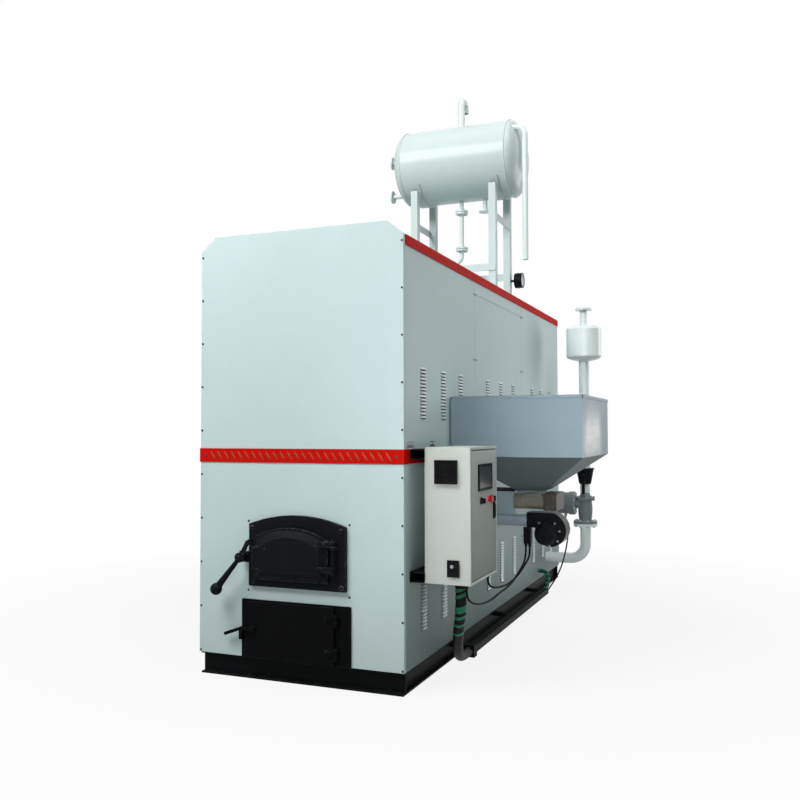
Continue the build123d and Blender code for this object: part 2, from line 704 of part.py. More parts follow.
with BuildPart() as fire_door:
    with BuildSketch(facing_front(FIRE_DOOR_X, FIRE_DOOR_BACK_Y, FIRE_DOOR_Z)):
        arch(FIRE_DOOR_W, FIRE_DOOR_SIDE, FIRE_DOOR_RISE)
    extrude(amount=FIRE_DOOR_T)
    for inset, face_y in (
        (FIRE_DOME_INSET, FIRE_DOOR_FACE_Y),
        (FIRE_DOME_INSET + FIRE_DOME_SLOPE, FIRE_DOME_FACE_Y),
    ):
        with BuildSketch(facing_front(FIRE_DOOR_X, face_y, FIRE_DOOR_Z + inset)):
            arch(FIRE_DOOR_W - 2 * inset, FIRE_DOOR_SIDE - 2 * inset, FIRE_DOOR_RISE)
    loft()
    strap_l = FIRE_PIN_REACH + FIRE_STRAP_L
    for middle in FIRE_HINGE_ZS:
        foot = middle - FIRE_KNUCKLE_H / 2
        with BuildSketch(facing_up(FIRE_PIN_X, FIRE_PIN_Y, foot)):
            Circle(FIRE_KNUCKLE_R)
            with Locations((-FIRE_PIN_REACH / 2, (FIRE_DOOR_BACK_Y + FIRE_DOOR_FACE_Y) / 2 - FIRE_PIN_Y)):
                Rectangle(FIRE_PIN_REACH + OVERRUN, FIRE_DOOR_T)
            with Locations((-strap_l / 2, (FIRE_DOME_FACE_Y + FIRE_DOOR_FACE_Y) / 2 - FIRE_PIN_Y)):
                Rectangle(strap_l, FIRE_DOME_T)
            Circle(FIRE_PIN_R + PIN_GAP, mode=Mode.SUBTRACT)
        extrude(amount=FIRE_KNUCKLE_H)
    slab(
        (FIRE_DOOR_LEFT_X, FIRE_DOOR_LEFT_X + FIRE_PAD_W),
        (FIRE_DOME_FACE_Y, FIRE_DOOR_FACE_Y),
        (LEVER_Z - FIRE_PAD_H / 2, LEVER_Z + FIRE_PAD_H / 2),
    )
    slab(
        (LEVER_X - LEVER_HUB_R, FIRE_DOOR_LEFT_X + OVERRUN),
        (FIRE_DOOR_FACE_Y, FIRE_DOOR_BACK_Y),
        (LEVER_Z - LEVER_LUG_H / 2, LEVER_Z + LEVER_LUG_H / 2),
    )
    boss_l = FIRE_DOOR_FACE_Y - LEVER_BACK_Y - PIN_GAP
    disc(facing_front(LEVER_X, FIRE_DOOR_FACE_Y, LEVER_Z), LEVER_HUB_R, boss_l)
    pin_l = FIRE_DOOR_FACE_Y - LEVER_FACE_Y + 2 * PIN_GAP + LEVER_NUT_T
    disc(facing_front(LEVER_X, FIRE_DOOR_FACE_Y, LEVER_Z), LEVER_PIN_R, pin_l)
    disc(facing_front(LEVER_X, LEVER_FACE_Y - PIN_GAP, LEVER_Z), LEVER_NUT_R, LEVER_NUT_T)

LEVER_MID_Y = (LEVER_BACK_Y + LEVER_FACE_Y) / 2
LEVER_DIR = (cos(radians(LEVER_ANGLE)), 0, sin(radians(LEVER_ANGLE)))
with BuildPart() as fire_door_lever:
    disc(facing_front(LEVER_X, LEVER_BACK_Y, LEVER_Z), LEVER_HUB_R, LEVER_HUB_T)
    with BuildSketch(facing_front(LEVER_X, LEVER_BACK_Y, LEVER_Z)):
        bar_outline(LEVER_ARM_L, LEVER_ARM_H, LEVER_ARM_ANGLE)
    extrude(amount=LEVER_HUB_T / 2)
    grip = Plane(origin=(LEVER_X, LEVER_MID_Y, LEVER_Z), x_dir=(0, 1, 0), z_dir=LEVER_DIR)
    with BuildSketch(grip.offset(LEVER_PIN_R + LEVER_NUT_R / 2)):
        Circle(LEVER_HUB_T / 2)
    with BuildSketch(grip.offset(2 * LEVER_HUB_R)):
        Circle(LEVER_ROOT_R)
    with BuildSketch(grip.offset(LEVER_L)):
        Circle(LEVER_TIP_R)
    loft(ruled=True)
    with Locations(grip.offset(LEVER_L)):
        Sphere(LEVER_BALL_R)
    disc(
        facing_front(LEVER_X, LEVER_BACK_Y + OVERRUN, LEVER_Z),
        LEVER_PIN_R + PIN_GAP,
        LEVER_HUB_T + 2 * OVERRUN,
        mode=Mode.SUBTRACT,
    )

# Ash door, its frame and its latch
ASH_FACE_Y = FRONT_Y - ASH_FRAME_T
ASH_DOOR_BACK_Y = ASH_FACE_Y - MOVE_GAP
ASH_DOOR_FACE_Y = ASH_DOOR_BACK_Y - ASH_DOOR_T
ASH_DOOR_LEFT_X = ASH_DOOR_X - ASH_DOOR_W / 2
ASH_DOOR_RIGHT_X = ASH_DOOR_X + ASH_DOOR_W / 2
ASH_DOOR_Z = CASE_Z + ASH_DOOR_MARGIN
ASH_DOOR_H = ASH_FRAME_H - 2 * ASH_DOOR_MARGIN
ASH_PIN_X = ASH_DOOR_RIGHT_X + ASH_PIN_REACH
ASH_PIN_Y = ASH_FACE_Y - ASH_PIN_OUT
ASH_HINGE_ZS = [ASH_DOOR_Z + share * ASH_DOOR_H for share in ASH_HINGE_SHARES]
LATCH_X = ASH_DOOR_LEFT_X + LATCH_IN
LATCH_Z = ASH_DOOR_Z + LATCH_Z_SHARE * ASH_DOOR_H
LATCH_BACK_Y = ASH_DOOR_FACE_Y - MOVE_GAP
LATCH_KEEPER_X = ASH_DOOR_LEFT_X - MOVE_GAP - LATCH_KEEPER_W / 2
LATCH_KEEPER_TOP_Z = LATCH_Z - LATCH_ARM_H / 2 - MOVE_GAP
with BuildPart() as ash_door_frame:
    slab(
        (LATCH_KEEPER_X - LATCH_KEEPER_W / 2, ASH_FRAME_X + ASH_FRAME_W / 2),
        (ASH_FACE_Y, FRONT_Y),
        (CASE_Z, CASE_Z + ASH_FRAME_H),
    )
    slab(
        (LATCH_KEEPER_X - LATCH_KEEPER_W / 2, LATCH_KEEPER_X + LATCH_KEEPER_W / 2),
        (LATCH_BACK_Y - LATCH_T, FRONT_Y),
        (LATCH_KEEPER_TOP_Z - LATCH_KEEPER_H, LATCH_KEEPER_TOP_Z),
    )
    cut_openings()
    for middle in ASH_HINGE_ZS:
        lug_z = middle - ASH_KNUCKLE_H / 2 - PIN_GAP - ASH_LUG_H
        hinge_lug(ASH_PIN_X, ASH_PIN_Y, ASH_FACE_Y, ASH_KNUCKLE_R, lug_z, ASH_LUG_H)
        disc(facing_up(ASH_PIN_X, ASH_PIN_Y, lug_z), ASH_PIN_R, ASH_LUG_H + ASH_KNUCKLE_H + ASH_PIN_R)

with BuildPart() as ash_door:
    slab(
        (ASH_DOOR_LEFT_X, ASH_DOOR_RIGHT_X),
        (ASH_DOOR_FACE_Y, ASH_DOOR_BACK_Y),
        (ASH_DOOR_Z, ASH_DOOR_Z + ASH_DOOR_H),
    )
    for middle in ASH_HINGE_ZS:
        foot = middle - ASH_KNUCKLE_H / 2
        with BuildSketch(facing_up(ASH_PIN_X, ASH_PIN_Y, foot)):
            Circle(ASH_KNUCKLE_R)
            with Locations((-ASH_PIN_REACH / 2, (ASH_DOOR_BACK_Y + ASH_DOOR_FACE_Y) / 2 - ASH_PIN_Y)):
                Rectangle(ASH_PIN_REACH + OVERRUN, ASH_DOOR_T)
        extrude(amount=ASH_KNUCKLE_H)
        disc(facing_up(ASH_PIN_X, ASH_PIN_Y, foot), ASH_PIN_R + PIN_GAP, ASH_KNUCKLE_H, mode=Mode.SUBTRACT)
    disc(facing_front(LATCH_X, ASH_DOOR_FACE_Y, LATCH_Z), LATCH_HUB_R, MOVE_GAP - PIN_GAP)
    disc(facing_front(LATCH_X, ASH_DOOR_FACE_Y, LATCH_Z), LATCH_PIN_R, MOVE_GAP + LATCH_T + 2 * PIN_GAP)
    disc(facing_front(LATCH_X, LATCH_BACK_Y - LATCH_T - PIN_GAP, LATCH_Z), LATCH_HUB_R, LATCH_PIN_R)

with BuildPart() as ash_door_latch:
    with BuildSketch(facing_front(LATCH_X, LATCH_BACK_Y, LATCH_Z)):
        Circle(LATCH_HUB_R)
        bar_outline(LATCH_ARM_L, LATCH_ARM_H, 180)
        with Locations((-LATCH_ARM_L, 0)):
            Circle(LATCH_ARM_H / 2)
            bar_outline(LATCH_GRIP_L, LATCH_ARM_H, LATCH_GRIP_ANGLE)
        Circle(LATCH_PIN_R + PIN_GAP, mode=Mode.SUBTRACT)
    extrude(amount=LATCH_T)

# Control cabinet, brackets, door and what is on it
CABINET_X = SIDE_X + CABINET_STAND_OFF
CABINET_FACE_X = CABINET_X + CABINET_D
CABINET_Y = FRONT_Y + CABINET_BACK
CABINET_REAR_Y = CABINET_Y + CABINET_W
CABINET_TOP_Z = CABINET_Z + CABINET_H
DOOR_BACK_X = CABINET_FACE_X - CABINET_DOOR_T
CABINET_DOOR_Y = CABINET_Y + CABINET_RIM + MOVE_GAP
CABINET_DOOR_REAR_Y = CABINET_REAR_Y - CABINET_RIM - MOVE_GAP
CABINET_DOOR_Z = CABINET_Z + CABINET_RIM + MOVE_GAP
CABINET_DOOR_TOP_Z = CABINET_TOP_Z - CABINET_RIM - MOVE_GAP
CABINET_PIN_X = CABINET_FACE_X - CABINET_DOOR_T / 2
CABINET_PIN_Y = CABINET_DOOR_Y + CABINET_PIN_IN
BRACKET_TOP_Z = BAND_TOP_Z
BRACKET_LOW_Z = CABINET_Z + BRACKET_LOW_LIFT
with BuildPart() as cabinet_brackets:
    for root_x, foot_z in ((SIDE_X, BRACKET_LOW_Z), (SIDE_X + BAND_T, BRACKET_TOP_Z - BRACKET_H)):
        ys = (CABINET_Y - BRACKET_OVER, CABINET_REAR_Y + BRACKET_OVER)
        slab((root_x, CABINET_X), ys, (foot_z, foot_z + BRACKET_H))
        slab(
            (root_x + BRACKET_T, CABINET_X + OVERRUN),
            (ys[0] - OVERRUN, ys[1] + OVERRUN),
            (foot_z + BRACKET_T, foot_z + BRACKET_H - BRACKET_T),
            mode=Mode.SUBTRACT,
        )

with BuildPart() as cabinet_shell:
    slab((CABINET_X, CABINET_FACE_X), (CABINET_Y, CABINET_REAR_Y), (CABINET_Z, CABINET_TOP_Z))
    slab(
        (CABINET_X + CABINET_WALL, DOOR_BACK_X - MOVE_GAP),
        (CABINET_Y + CABINET_WALL, CABINET_REAR_Y - CABINET_WALL),
        (CABINET_Z + CABINET_WALL, CABINET_TOP_Z - CABINET_WALL),
        mode=Mode.SUBTRACT,
    )
    slab(
        (CABINET_X + CABINET_D / 2, CABINET_FACE_X + OVERRUN),
        (CABINET_Y + CABINET_RIM, CABINET_REAR_Y - CABINET_RIM),
        (CABINET_Z + CABINET_RIM, CABINET_TOP_Z - CABINET_RIM),
        mode=Mode.SUBTRACT,
    )
    pin_l = MOVE_GAP + CABINET_PIN_L
    disc(facing_up(CABINET_PIN_X, CABINET_PIN_Y, CABINET_Z + CABINET_RIM), CABINET_PIN_R, pin_l)
    disc(facing_down(CABINET_PIN_X, CABINET_PIN_Y, CABINET_TOP_Z - CABINET_RIM), CABINET_PIN_R, pin_l)

with BuildPart() as cabinet_door:
    slab(
        (DOOR_BACK_X, CABINET_FACE_X),
        (CABINET_DOOR_Y, CABINET_DOOR_REAR_Y),
        (CABINET_DOOR_Z, CABINET_DOOR_TOP_Z),
    )
    hole_r = CABINET_PIN_R + PIN_GAP
    hole_l = CABINET_PIN_L + PIN_GAP
    disc(facing_up(CABINET_PIN_X, CABINET_PIN_Y, CABINET_DOOR_Z), hole_r, hole_l, mode=Mode.SUBTRACT)
    disc(facing_down(CABINET_PIN_X, CABINET_PIN_Y, CABINET_DOOR_TOP_Z), hole_r, hole_l, mode=Mode.SUBTRACT)

CONTROL_Z = CABINET_Z + CONTROL_Z_SHARE * CABINET_H
SCREEN_Z = CABINET_Z + SCREEN_Z_SHARE * CABINET_H
HANDLE_Z = CABINET_Z + HANDLE_Z_SHARE * CABINET_H


def across_door(share):
    """Position across the cabinet, as a share of its width."""
    return CABINET_Y + share * CABINET_W


with BuildPart() as door_controls:
    with BuildSketch(facing_right(CABINET_FACE_X, across_door(SCREEN_Y_SHARE), SCREEN_Z)):
        Rectangle(SCREEN_W, SCREEN_H)
    extrude(amount=SCREEN_T)
    disc(facing_right(CABINET_FACE_X, across_door(KNOB_Y_SHARE), CONTROL_Z), KNOB_R, KNOB_T)
    disc(facing_right(CABINET_FACE_X, across_door(STOP_Y_SHARE), CONTROL_Z), STOP_R, STOP_T)
    disc(facing_right(CABINET_FACE_X, across_door(LAMP_Y_SHARE), CONTROL_Z), KNOB_R, KNOB_T)
    with BuildSketch(facing_right(CABINET_FACE_X, across_door(HANDLE_Y_SHARE), HANDLE_Z)):
        Rectangle(HANDLE_W, HANDLE_H)
    extrude(amount=HANDLE_T)

with BuildPart() as cabinet_vents:
    grille_x = CABINET_X + GRILLE_X_SHARE * CABINET_D
    with BuildSketch(facing_front(grille_x, CABINET_Y, CABINET_Z + GRILLE_Z_SHARE * CABINET_H)):
        Rectangle(GRILLE_S, GRILLE_S)
    extrude(amount=GRILLE_T)
    socket_x = CABINET_X + SOCKET_X_SHARE * CABINET_D
    with BuildSketch(facing_front(socket_x, CABINET_Y, CABINET_Z + SOCKET_Z_SHARE * CABINET_H)):
        Rectangle(SOCKET_W, SOCKET_H)
    extrude(amount=SOCKET_T)

# Hopper: an open bin on a cone
HOPPER_X = SIDE_X + HOPPER_GAP + HOPPER_W / 2
HOPPER_Y = FRONT_Y + HOPPER_BACK + HOPPER_L / 2
CONE_TOP_Z = HOPPER_TOP_Z - HOPPER_BOX_H
CONE_Z = CONE_TOP_Z - HOPPER_CONE_H
with BuildPart() as hopper_bin:
    with BuildSketch(facing_up(HOPPER_X, HOPPER_Y, CONE_TOP_Z)):
        Rectangle(HOPPER_W, HOPPER_L)
        Rectangle(HOPPER_W - 2 * HOPPER_WALL, HOPPER_L - 2 * HOPPER_WALL, mode=Mode.SUBTRACT)
    extrude(amount=HOPPER_BOX_H)

with BuildPart() as hopper_cone:
    with BuildSketch(facing_up(HOPPER_X, HOPPER_Y, CONE_Z)):
        Rectangle(THROAT_W, THROAT_L)
    with BuildSketch(facing_up(HOPPER_X, HOPPER_Y, CONE_TOP_Z)):
        Rectangle(HOPPER_W, HOPPER_L)
    loft(ruled=True)
    with BuildSketch(facing_up(HOPPER_X, HOPPER_Y, CONE_Z)):
        Rectangle(THROAT_W - 2 * HOPPER_WALL, THROAT_L - 2 * HOPPER_WALL)
    with BuildSketch(facing_up(HOPPER_X, HOPPER_Y, CONE_TOP_Z)):
        Rectangle(HOPPER_W - 2 * HOPPER_WALL, HOPPER_L - 2 * HOPPER_WALL)
    loft(ruled=True, mode=Mode.SUBTRACT)

# Burner and feed under the hopper
SCREW_Z = CONE_Z - SCREW_DROP
BURNER_TOP_Z = CONE_Z - SEAT_GAP
BURNER_END_X = HOPPER_X - THROAT_W / 2
BURNER_Z = BURNER_TOP_Z - BURNER_H
GEARBOX_X = HOPPER_X + THROAT_W / 2 + SEAT_GAP
MOTOR_Y = HOPPER_Y - FEED_MOTOR_OFF
with BuildPart() as burner_body:
    slab(
        (SIDE_X, BURNER_END_X),
        (HOPPER_Y - BURNER_W / 2, HOPPER_Y + BURNER_W / 2),
        (BURNER_Z, BURNER_TOP_Z - HOPPER_WALL),
    )
    slab(
        (SIDE_X, SIDE_X + BURNER_FLANGE_T),
        (HOPPER_Y - BURNER_FLANGE_W / 2, HOPPER_Y + BURNER_FLANGE_W / 2),
        (BURNER_Z - HOPPER_WALL, BURNER_TOP_Z),
    )

with BuildPart() as feed_screw:
    disc(facing_right(BURNER_END_X, HOPPER_Y, SCREW_Z), SCREW_R, GEARBOX_X - BURNER_END_X)
    slab(
        (HOPPER_X - THROAT_W / 2, HOPPER_X + THROAT_W / 2),
        (HOPPER_Y - SCREW_R, HOPPER_Y + SCREW_R),
        (SCREW_Z, CONE_Z),
    )

with BuildPart() as feed_gearbox:
    slab(
        (GEARBOX_X, GEARBOX_X + GEARBOX_L),
        (HOPPER_Y + SCREW_R - GEARBOX_W, HOPPER_Y + SCREW_R),
        (SCREW_Z - GEARBOX_H / 2, SCREW_Z + GEARBOX_H / 2),
    )

with BuildPart() as feed_motor:
    disc(facing_left(GEARBOX_X, MOTOR_Y, SCREW_Z), FEED_MOTOR_R, GEARBOX_X - BURNER_END_X)
    disc(facing_right(BURNER_END_X, MOTOR_Y, SCREW_Z), FEED_MOTOR_R + FEED_COWL_T, FEED_COWL_L)

AIR_Y = HOPPER_Y - AIR_DUCT_OFF
AIR_Z = BURNER_Z - HOPPER_WALL - AIR_DUCT_R - SEAT_GAP
BLOWER_X = BURNER_END_X + BLOWER_OUT_L / 2 + BLOWER_OUT_L
BLOWER_Z = AIR_Z - BLOWER_DROP
BLOWER_OUT_X = BLOWER_X - BLOWER_OUT_L
with BuildPart() as air_duct:
    disc(facing_right(SIDE_X, AIR_Y, AIR_Z), AIR_DUCT_R, BLOWER_OUT_X - SIDE_X)

BLOWER_FACE_Y = AIR_Y - BLOWER_D / 2
SCROLL_TURN = 270


def scroll_point(turn):
    """Point on the blower's scroll, at a turn in degrees past its tongue."""
    radius = BLOWER_R * (SCROLL_SHARE + (1 - SCROLL_SHARE) * turn / SCROLL_TURN)
    angle = radians(180 + turn)
    return (radius * cos(angle), radius * sin(angle))


with BuildPart() as blower_housing:
    with BuildSketch(facing_front(BLOWER_X, AIR_Y + BLOWER_D / 2, BLOWER_Z)):
        with BuildLine():
            Spline([scroll_point(turn) for turn in range(0, SCROLL_TURN + 1, 45)])
            Polyline(
                scroll_point(SCROLL_TURN),
                (-BLOWER_OUT_L, BLOWER_R),
                (-BLOWER_OUT_L, BLOWER_R - BLOWER_OUT_H),
                (-BLOWER_R * SCROLL_SHARE, BLOWER_R - BLOWER_OUT_H),
                scroll_point(0),
            )
        make_face()
    extrude(amount=BLOWER_D)

MOTOR_X = BLOWER_X - BLOWER_MOTOR_ASIDE
MOTOR_Z = BLOWER_Z - BLOWER_MOTOR_DROP
with BuildPart() as blower_motor:
    disc(facing_front(MOTOR_X, BLOWER_FACE_Y, MOTOR_Z), BLOWER_MOTOR_R, BLOWER_MOTOR_L)
    fillet(blower_motor.edges().group_by(Axis.Y)[0], BLOWER_MOTOR_ROUND)

PLUG_X = BLOWER_X - BLOWER_R - MOVE_GAP - PLUG_W
PLUG_TOP_Z = BLOWER_Z + BLOWER_R - BLOWER_OUT_H
PLUG_FOOT_Z = PLUG_TOP_Z - PLUG_H
with BuildPart() as blower_plug:
    slab((PLUG_X, PLUG_X + PLUG_W), (BLOWER_FACE_Y, BLOWER_FACE_Y + PLUG_D), (PLUG_FOOT_Z, PLUG_TOP_Z))

# Return pipe, pump, valve, riser and separator on one upright line
PUMP_X = SIDE_X + PIPE_OUT
PUMP_Y = FRONT_Y + PIPE_BACK
RETURN_FLANGE_Z = RETURN_TOP_Z - 2 * LINE_FLANGE_T
PUMP_FOOT_Z = RETURN_FLANGE_Z + LINE_FLANGE_T
PUMP_TOP_Z = PUMP_FOOT_Z + PUMP_H
VALVE_Z = PUMP_TOP_Z + SLEEVE_H
VALVE_TOP_Z = VALVE_Z + VALVE_H
with BuildPart() as line_pipes:
    with BuildLine() as return_route:
        FilletPolyline(
            (SIDE_X, PUMP_Y, PIPE_Z),
            (PUMP_X, PUMP_Y, PIPE_Z),
            (PUMP_X, PUMP_Y, RETURN_FLANGE_Z),
            radius=PIPE_BEND,
        )
    with BuildSketch(facing_right(SIDE_X, PUMP_Y, PIPE_Z)):
        Circle(PIPE_R)
    sweep(path=return_route.line)
    disc(facing_up(PUMP_X, PUMP_Y, RETURN_FLANGE_Z), LINE_FLANGE_R, LINE_FLANGE_T)
    disc(facing_up(PUMP_X, PUMP_Y, VALVE_TOP_Z), PIPE_R, SEPARATOR_Z - SEPARATOR_DISH - VALVE_TOP_Z)

PUMP_AXIS_Z = PUMP_FOOT_Z + PUMP_AXIS_SHARE * PUMP_H
PORT_END_X = PUMP_X - PUMP_PORT_L
with BuildPart() as pump_body:
    disc(facing_up(PUMP_X, PUMP_Y, PUMP_FOOT_Z), LINE_FLANGE_R, LINE_FLANGE_T)
    with BuildSketch(facing_front(PUMP_X, PUMP_Y, PUMP_FOOT_Z)):
        with BuildLine():
            ThreePointArc((PIPE_R, 0), (PUMP_BODY_R, PUMP_AXIS_SHARE * PUMP_H), (SLEEVE_R, PUMP_H))
            Polyline((SLEEVE_R, PUMP_H), (0, PUMP_H), (0, 0), (PIPE_R, 0))
        make_face()
    revolve(axis=Axis((PUMP_X, PUMP_Y, 0), (0, 0, 1)))
    disc(facing_left(PUMP_X, PUMP_Y, PUMP_AXIS_Z), PIPE_R, PUMP_PORT_L)
    disc(facing_left(PORT_END_X + LINE_FLANGE_T, PUMP_Y, PUMP_AXIS_Z), LINE_FLANGE_R, LINE_FLANGE_T)

VOLUTE_END_X = PORT_END_X - PUMP_VOLUTE_L
PUMP_GLAND_X = PORT_END_X - PUMP_VOLUTE_L / 2
with BuildPart() as circulation_pump:
    disc(facing_left(PORT_END_X, PUMP_Y, PUMP_AXIS_Z), LINE_FLANGE_R, LINE_FLANGE_T)
    disc(facing_left(PORT_END_X, PUMP_Y, PUMP_AXIS_Z), PUMP_VOLUTE_R, PUMP_VOLUTE_L)
    disc(facing_left(VOLUTE_END_X, PUMP_Y, PUMP_AXIS_Z), PUMP_MOTOR_R, PUMP_MOTOR_L)
    disc(facing_down(PUMP_GLAND_X, PUMP_Y, PUMP_AXIS_Z), GLAND_R, PUMP_VOLUTE_R + GLAND_H)

VALVE_MID_Z = VALVE_Z + VALVE_H / 2
VALVE_LEVER_Y = PUMP_Y - VALVE_HEAD_R - MOVE_GAP
with BuildPart() as shutoff_valve:
    disc(facing_up(PUMP_X, PUMP_Y, PUMP_TOP_Z), SLEEVE_R, SLEEVE_H)
    with BuildSketch(facing_up(PUMP_X, PUMP_Y, VALVE_Z)):
        Circle(VALVE_FOOT_R)
    with BuildSketch(facing_up(PUMP_X, PUMP_Y, VALVE_TOP_Z)):
        Circle(VALVE_HEAD_R)
    loft(ruled=True)
    stem_l = VALVE_HEAD_R + MOVE_GAP + VALVE_LEVER_T + VALVE_STEM_R
    disc(facing_front(PUMP_X, PUMP_Y, VALVE_MID_Z), VALVE_STEM_R, stem_l)

with BuildPart() as valve_lever:
    with BuildSketch(facing_front(PUMP_X, VALVE_LEVER_Y, VALVE_MID_Z)):
        Circle(VALVE_LEVER_HUB_R)
        bar_outline(VALVE_LEVER_L, VALVE_LEVER_W, 270)
        Circle(VALVE_STEM_R + PIN_GAP, mode=Mode.SUBTRACT)
    extrude(amount=VALVE_LEVER_T)

SEPARATOR_TOP_Z = SEPARATOR_Z + SEPARATOR_H
NECK_TOP_Z = SEPARATOR_TOP_Z + SEPARATOR_NECK_H
with BuildPart() as oil_gas_separator:
    with BuildSketch(facing_front(PUMP_X, PUMP_Y, 0)):
        with BuildLine():
            low = SEPARATOR_Z + SEPARATOR_DISH
            high = SEPARATOR_TOP_Z - SEPARATOR_DISH
            EllipticalCenterArc((0, low), SEPARATOR_R, SEPARATOR_DISH, start_angle=270, arc_size=90)
            Line((SEPARATOR_R, low), (SEPARATOR_R, high))
            EllipticalCenterArc((0, high), SEPARATOR_R, SEPARATOR_DISH, start_angle=0, arc_size=90)
            Line((0, SEPARATOR_TOP_Z), (0, SEPARATOR_Z))
        make_face()
    revolve(axis=Axis((PUMP_X, PUMP_Y, 0), (0, 0, 1)))
    disc(facing_up(PUMP_X, PUMP_Y, SEPARATOR_Z - SEPARATOR_DISH), PIPE_R, SEPARATOR_H / 2)
    disc(facing_down(PUMP_X, PUMP_Y, NECK_TOP_Z), SEPARATOR_NECK_R, SEPARATOR_NECK_H + SEPARATOR_DISH)
    disc(facing_down(PUMP_X, PUMP_Y, NECK_TOP_Z), NECK_FLANGE_R, NECK_FLANGE_T)
    bolt_ring(facing_up(PUMP_X, PUMP_Y, NECK_TOP_Z), NECK_BOLT_PCD, NECK_BOLT_R, NECK_FLANGE_T)
    disc(facing_down(PUMP_X, PUMP_Y, NECK_TOP_Z), NECK_BORE_R, NECK_BORE_L, mode=Mode.SUBTRACT)

# Expansion tank
TANK_Y = FRONT_Y + TANK_BACK
TANK_END_X = TANK_L / 2
TANK_TIP_X = TANK_END_X + TANK_DISH
TANK_Z = ROOF_Z + TANK_RISE
TANK_FOOT_Z = TANK_Z - TANK_R
TANK_TOP_Z = TANK_Z + TANK_R
STRAP_R = TANK_R + SEAT_GAP + STRAP_T


def trim_to_tank():
    """Cut away what would reach into the tank's barrel and its dished ends."""
    disc(facing_right(-TANK_END_X, TANK_Y, TANK_Z), TANK_R + SEAT_GAP, TANK_L, mode=Mode.SUBTRACT)


def dish(side, grow, mode=Mode.ADD):
    """Add one dished end of the tank, grown by a gap."""
    rim = TANK_R + grow
    with BuildSketch(Plane(origin=(0, TANK_Y, TANK_Z), x_dir=(side, 0, 0), z_dir=(0, -side, 0))) as profile:
        with BuildLine():
            EllipticalCenterArc((TANK_END_X, 0), TANK_DISH + grow, rim, start_angle=0, arc_size=90)
            Polyline((TANK_END_X, rim), (TANK_END_X, 0), (TANK_TIP_X + grow, 0))
        make_face()
    revolve(profile.sketch, axis=Axis((0, TANK_Y, TANK_Z), (1, 0, 0)), mode=mode)


def cradle(start_x, width, mode):
    """Add the strap that holds the tank's belly between two legs."""
    with BuildSketch(facing_right(start_x, TANK_Y, TANK_Z)) as strap:
        Circle(STRAP_R)
        Circle(STRAP_R - STRAP_T, mode=Mode.SUBTRACT)
        with Locations((0, LEG_TOP_Z - TANK_Z + STRAP_RISE + TANK_R)):
            Rectangle(2 * STRAP_R, 2 * TANK_R, mode=Mode.SUBTRACT)
    extrude(strap.sketch, amount=width, mode=mode)


with BuildPart() as tank_shell:
    with BuildSketch(facing_right(-TANK_END_X, TANK_Y, TANK_Z)):
        Circle(TANK_R)
        Circle(TANK_R - TANK_WALL, mode=Mode.SUBTRACT)
    extrude(amount=TANK_L)

with BuildPart() as tank_ends:
    for side in (-1, 1):
        dish(side, 0)

# Stand: four square tube legs, low bars and side braces, and two cradle straps
LOW_BAR_Z = ROOF_Z + LOW_BAR_RISE
BRACE_Z = ROOF_Z + BRACE_RISE
LEG_X = LEG_SPAN_X / 2
LEG_Y = LEG_SPAN_Y / 2
LEG_IN_Y = LEG_Y - LEG_S
LEG_TOP_Z = TANK_Z - sqrt((STRAP_R - STRAP_T / 2) ** 2 - LEG_IN_Y**2)
LEG_OUT_X = LEG_X + LEG_S / 2
with BuildPart() as tank_legs:
    for side in (-1, 1):
        for end in (-1, 1):
            leg_y = TANK_Y + end * (LEG_Y - LEG_S / 2)
            with BuildSketch(facing_up(side * LEG_X, leg_y, ROOF_Z)) as section:
                Rectangle(LEG_S, LEG_S)
                Rectangle(LEG_S - 2 * LEG_T, LEG_S - 2 * LEG_T, mode=Mode.SUBTRACT)
            extrude(section.sketch, amount=LEG_TOP_Z - ROOF_Z)
    for side in (-1, 1):
        cradle(side * LEG_X - STRAP_W / 2, STRAP_W, Mode.SUBTRACT)

with BuildPart() as tank_cradles:
    for side in (-1, 1):
        cradle(side * LEG_X - STRAP_W / 2, STRAP_W, Mode.ADD)

with BuildPart() as tank_braces:
    for side in (-1, 1):
        xs = sorted((side * LEG_OUT_X, side * (LEG_OUT_X - BAR_T)))
        slab(xs, (TANK_Y - LEG_IN_Y, TANK_Y + LEG_IN_Y), (BRACE_Z, BRACE_Z + BAR_H))
    for end in (-1, 1):
        bar_y = TANK_Y + end * LEG_Y
        ys = sorted((bar_y, bar_y + end * BAR_T))
        slab((-LEG_OUT_X, LEG_OUT_X), ys, (LOW_BAR_Z, LOW_BAR_Z + BAR_H))

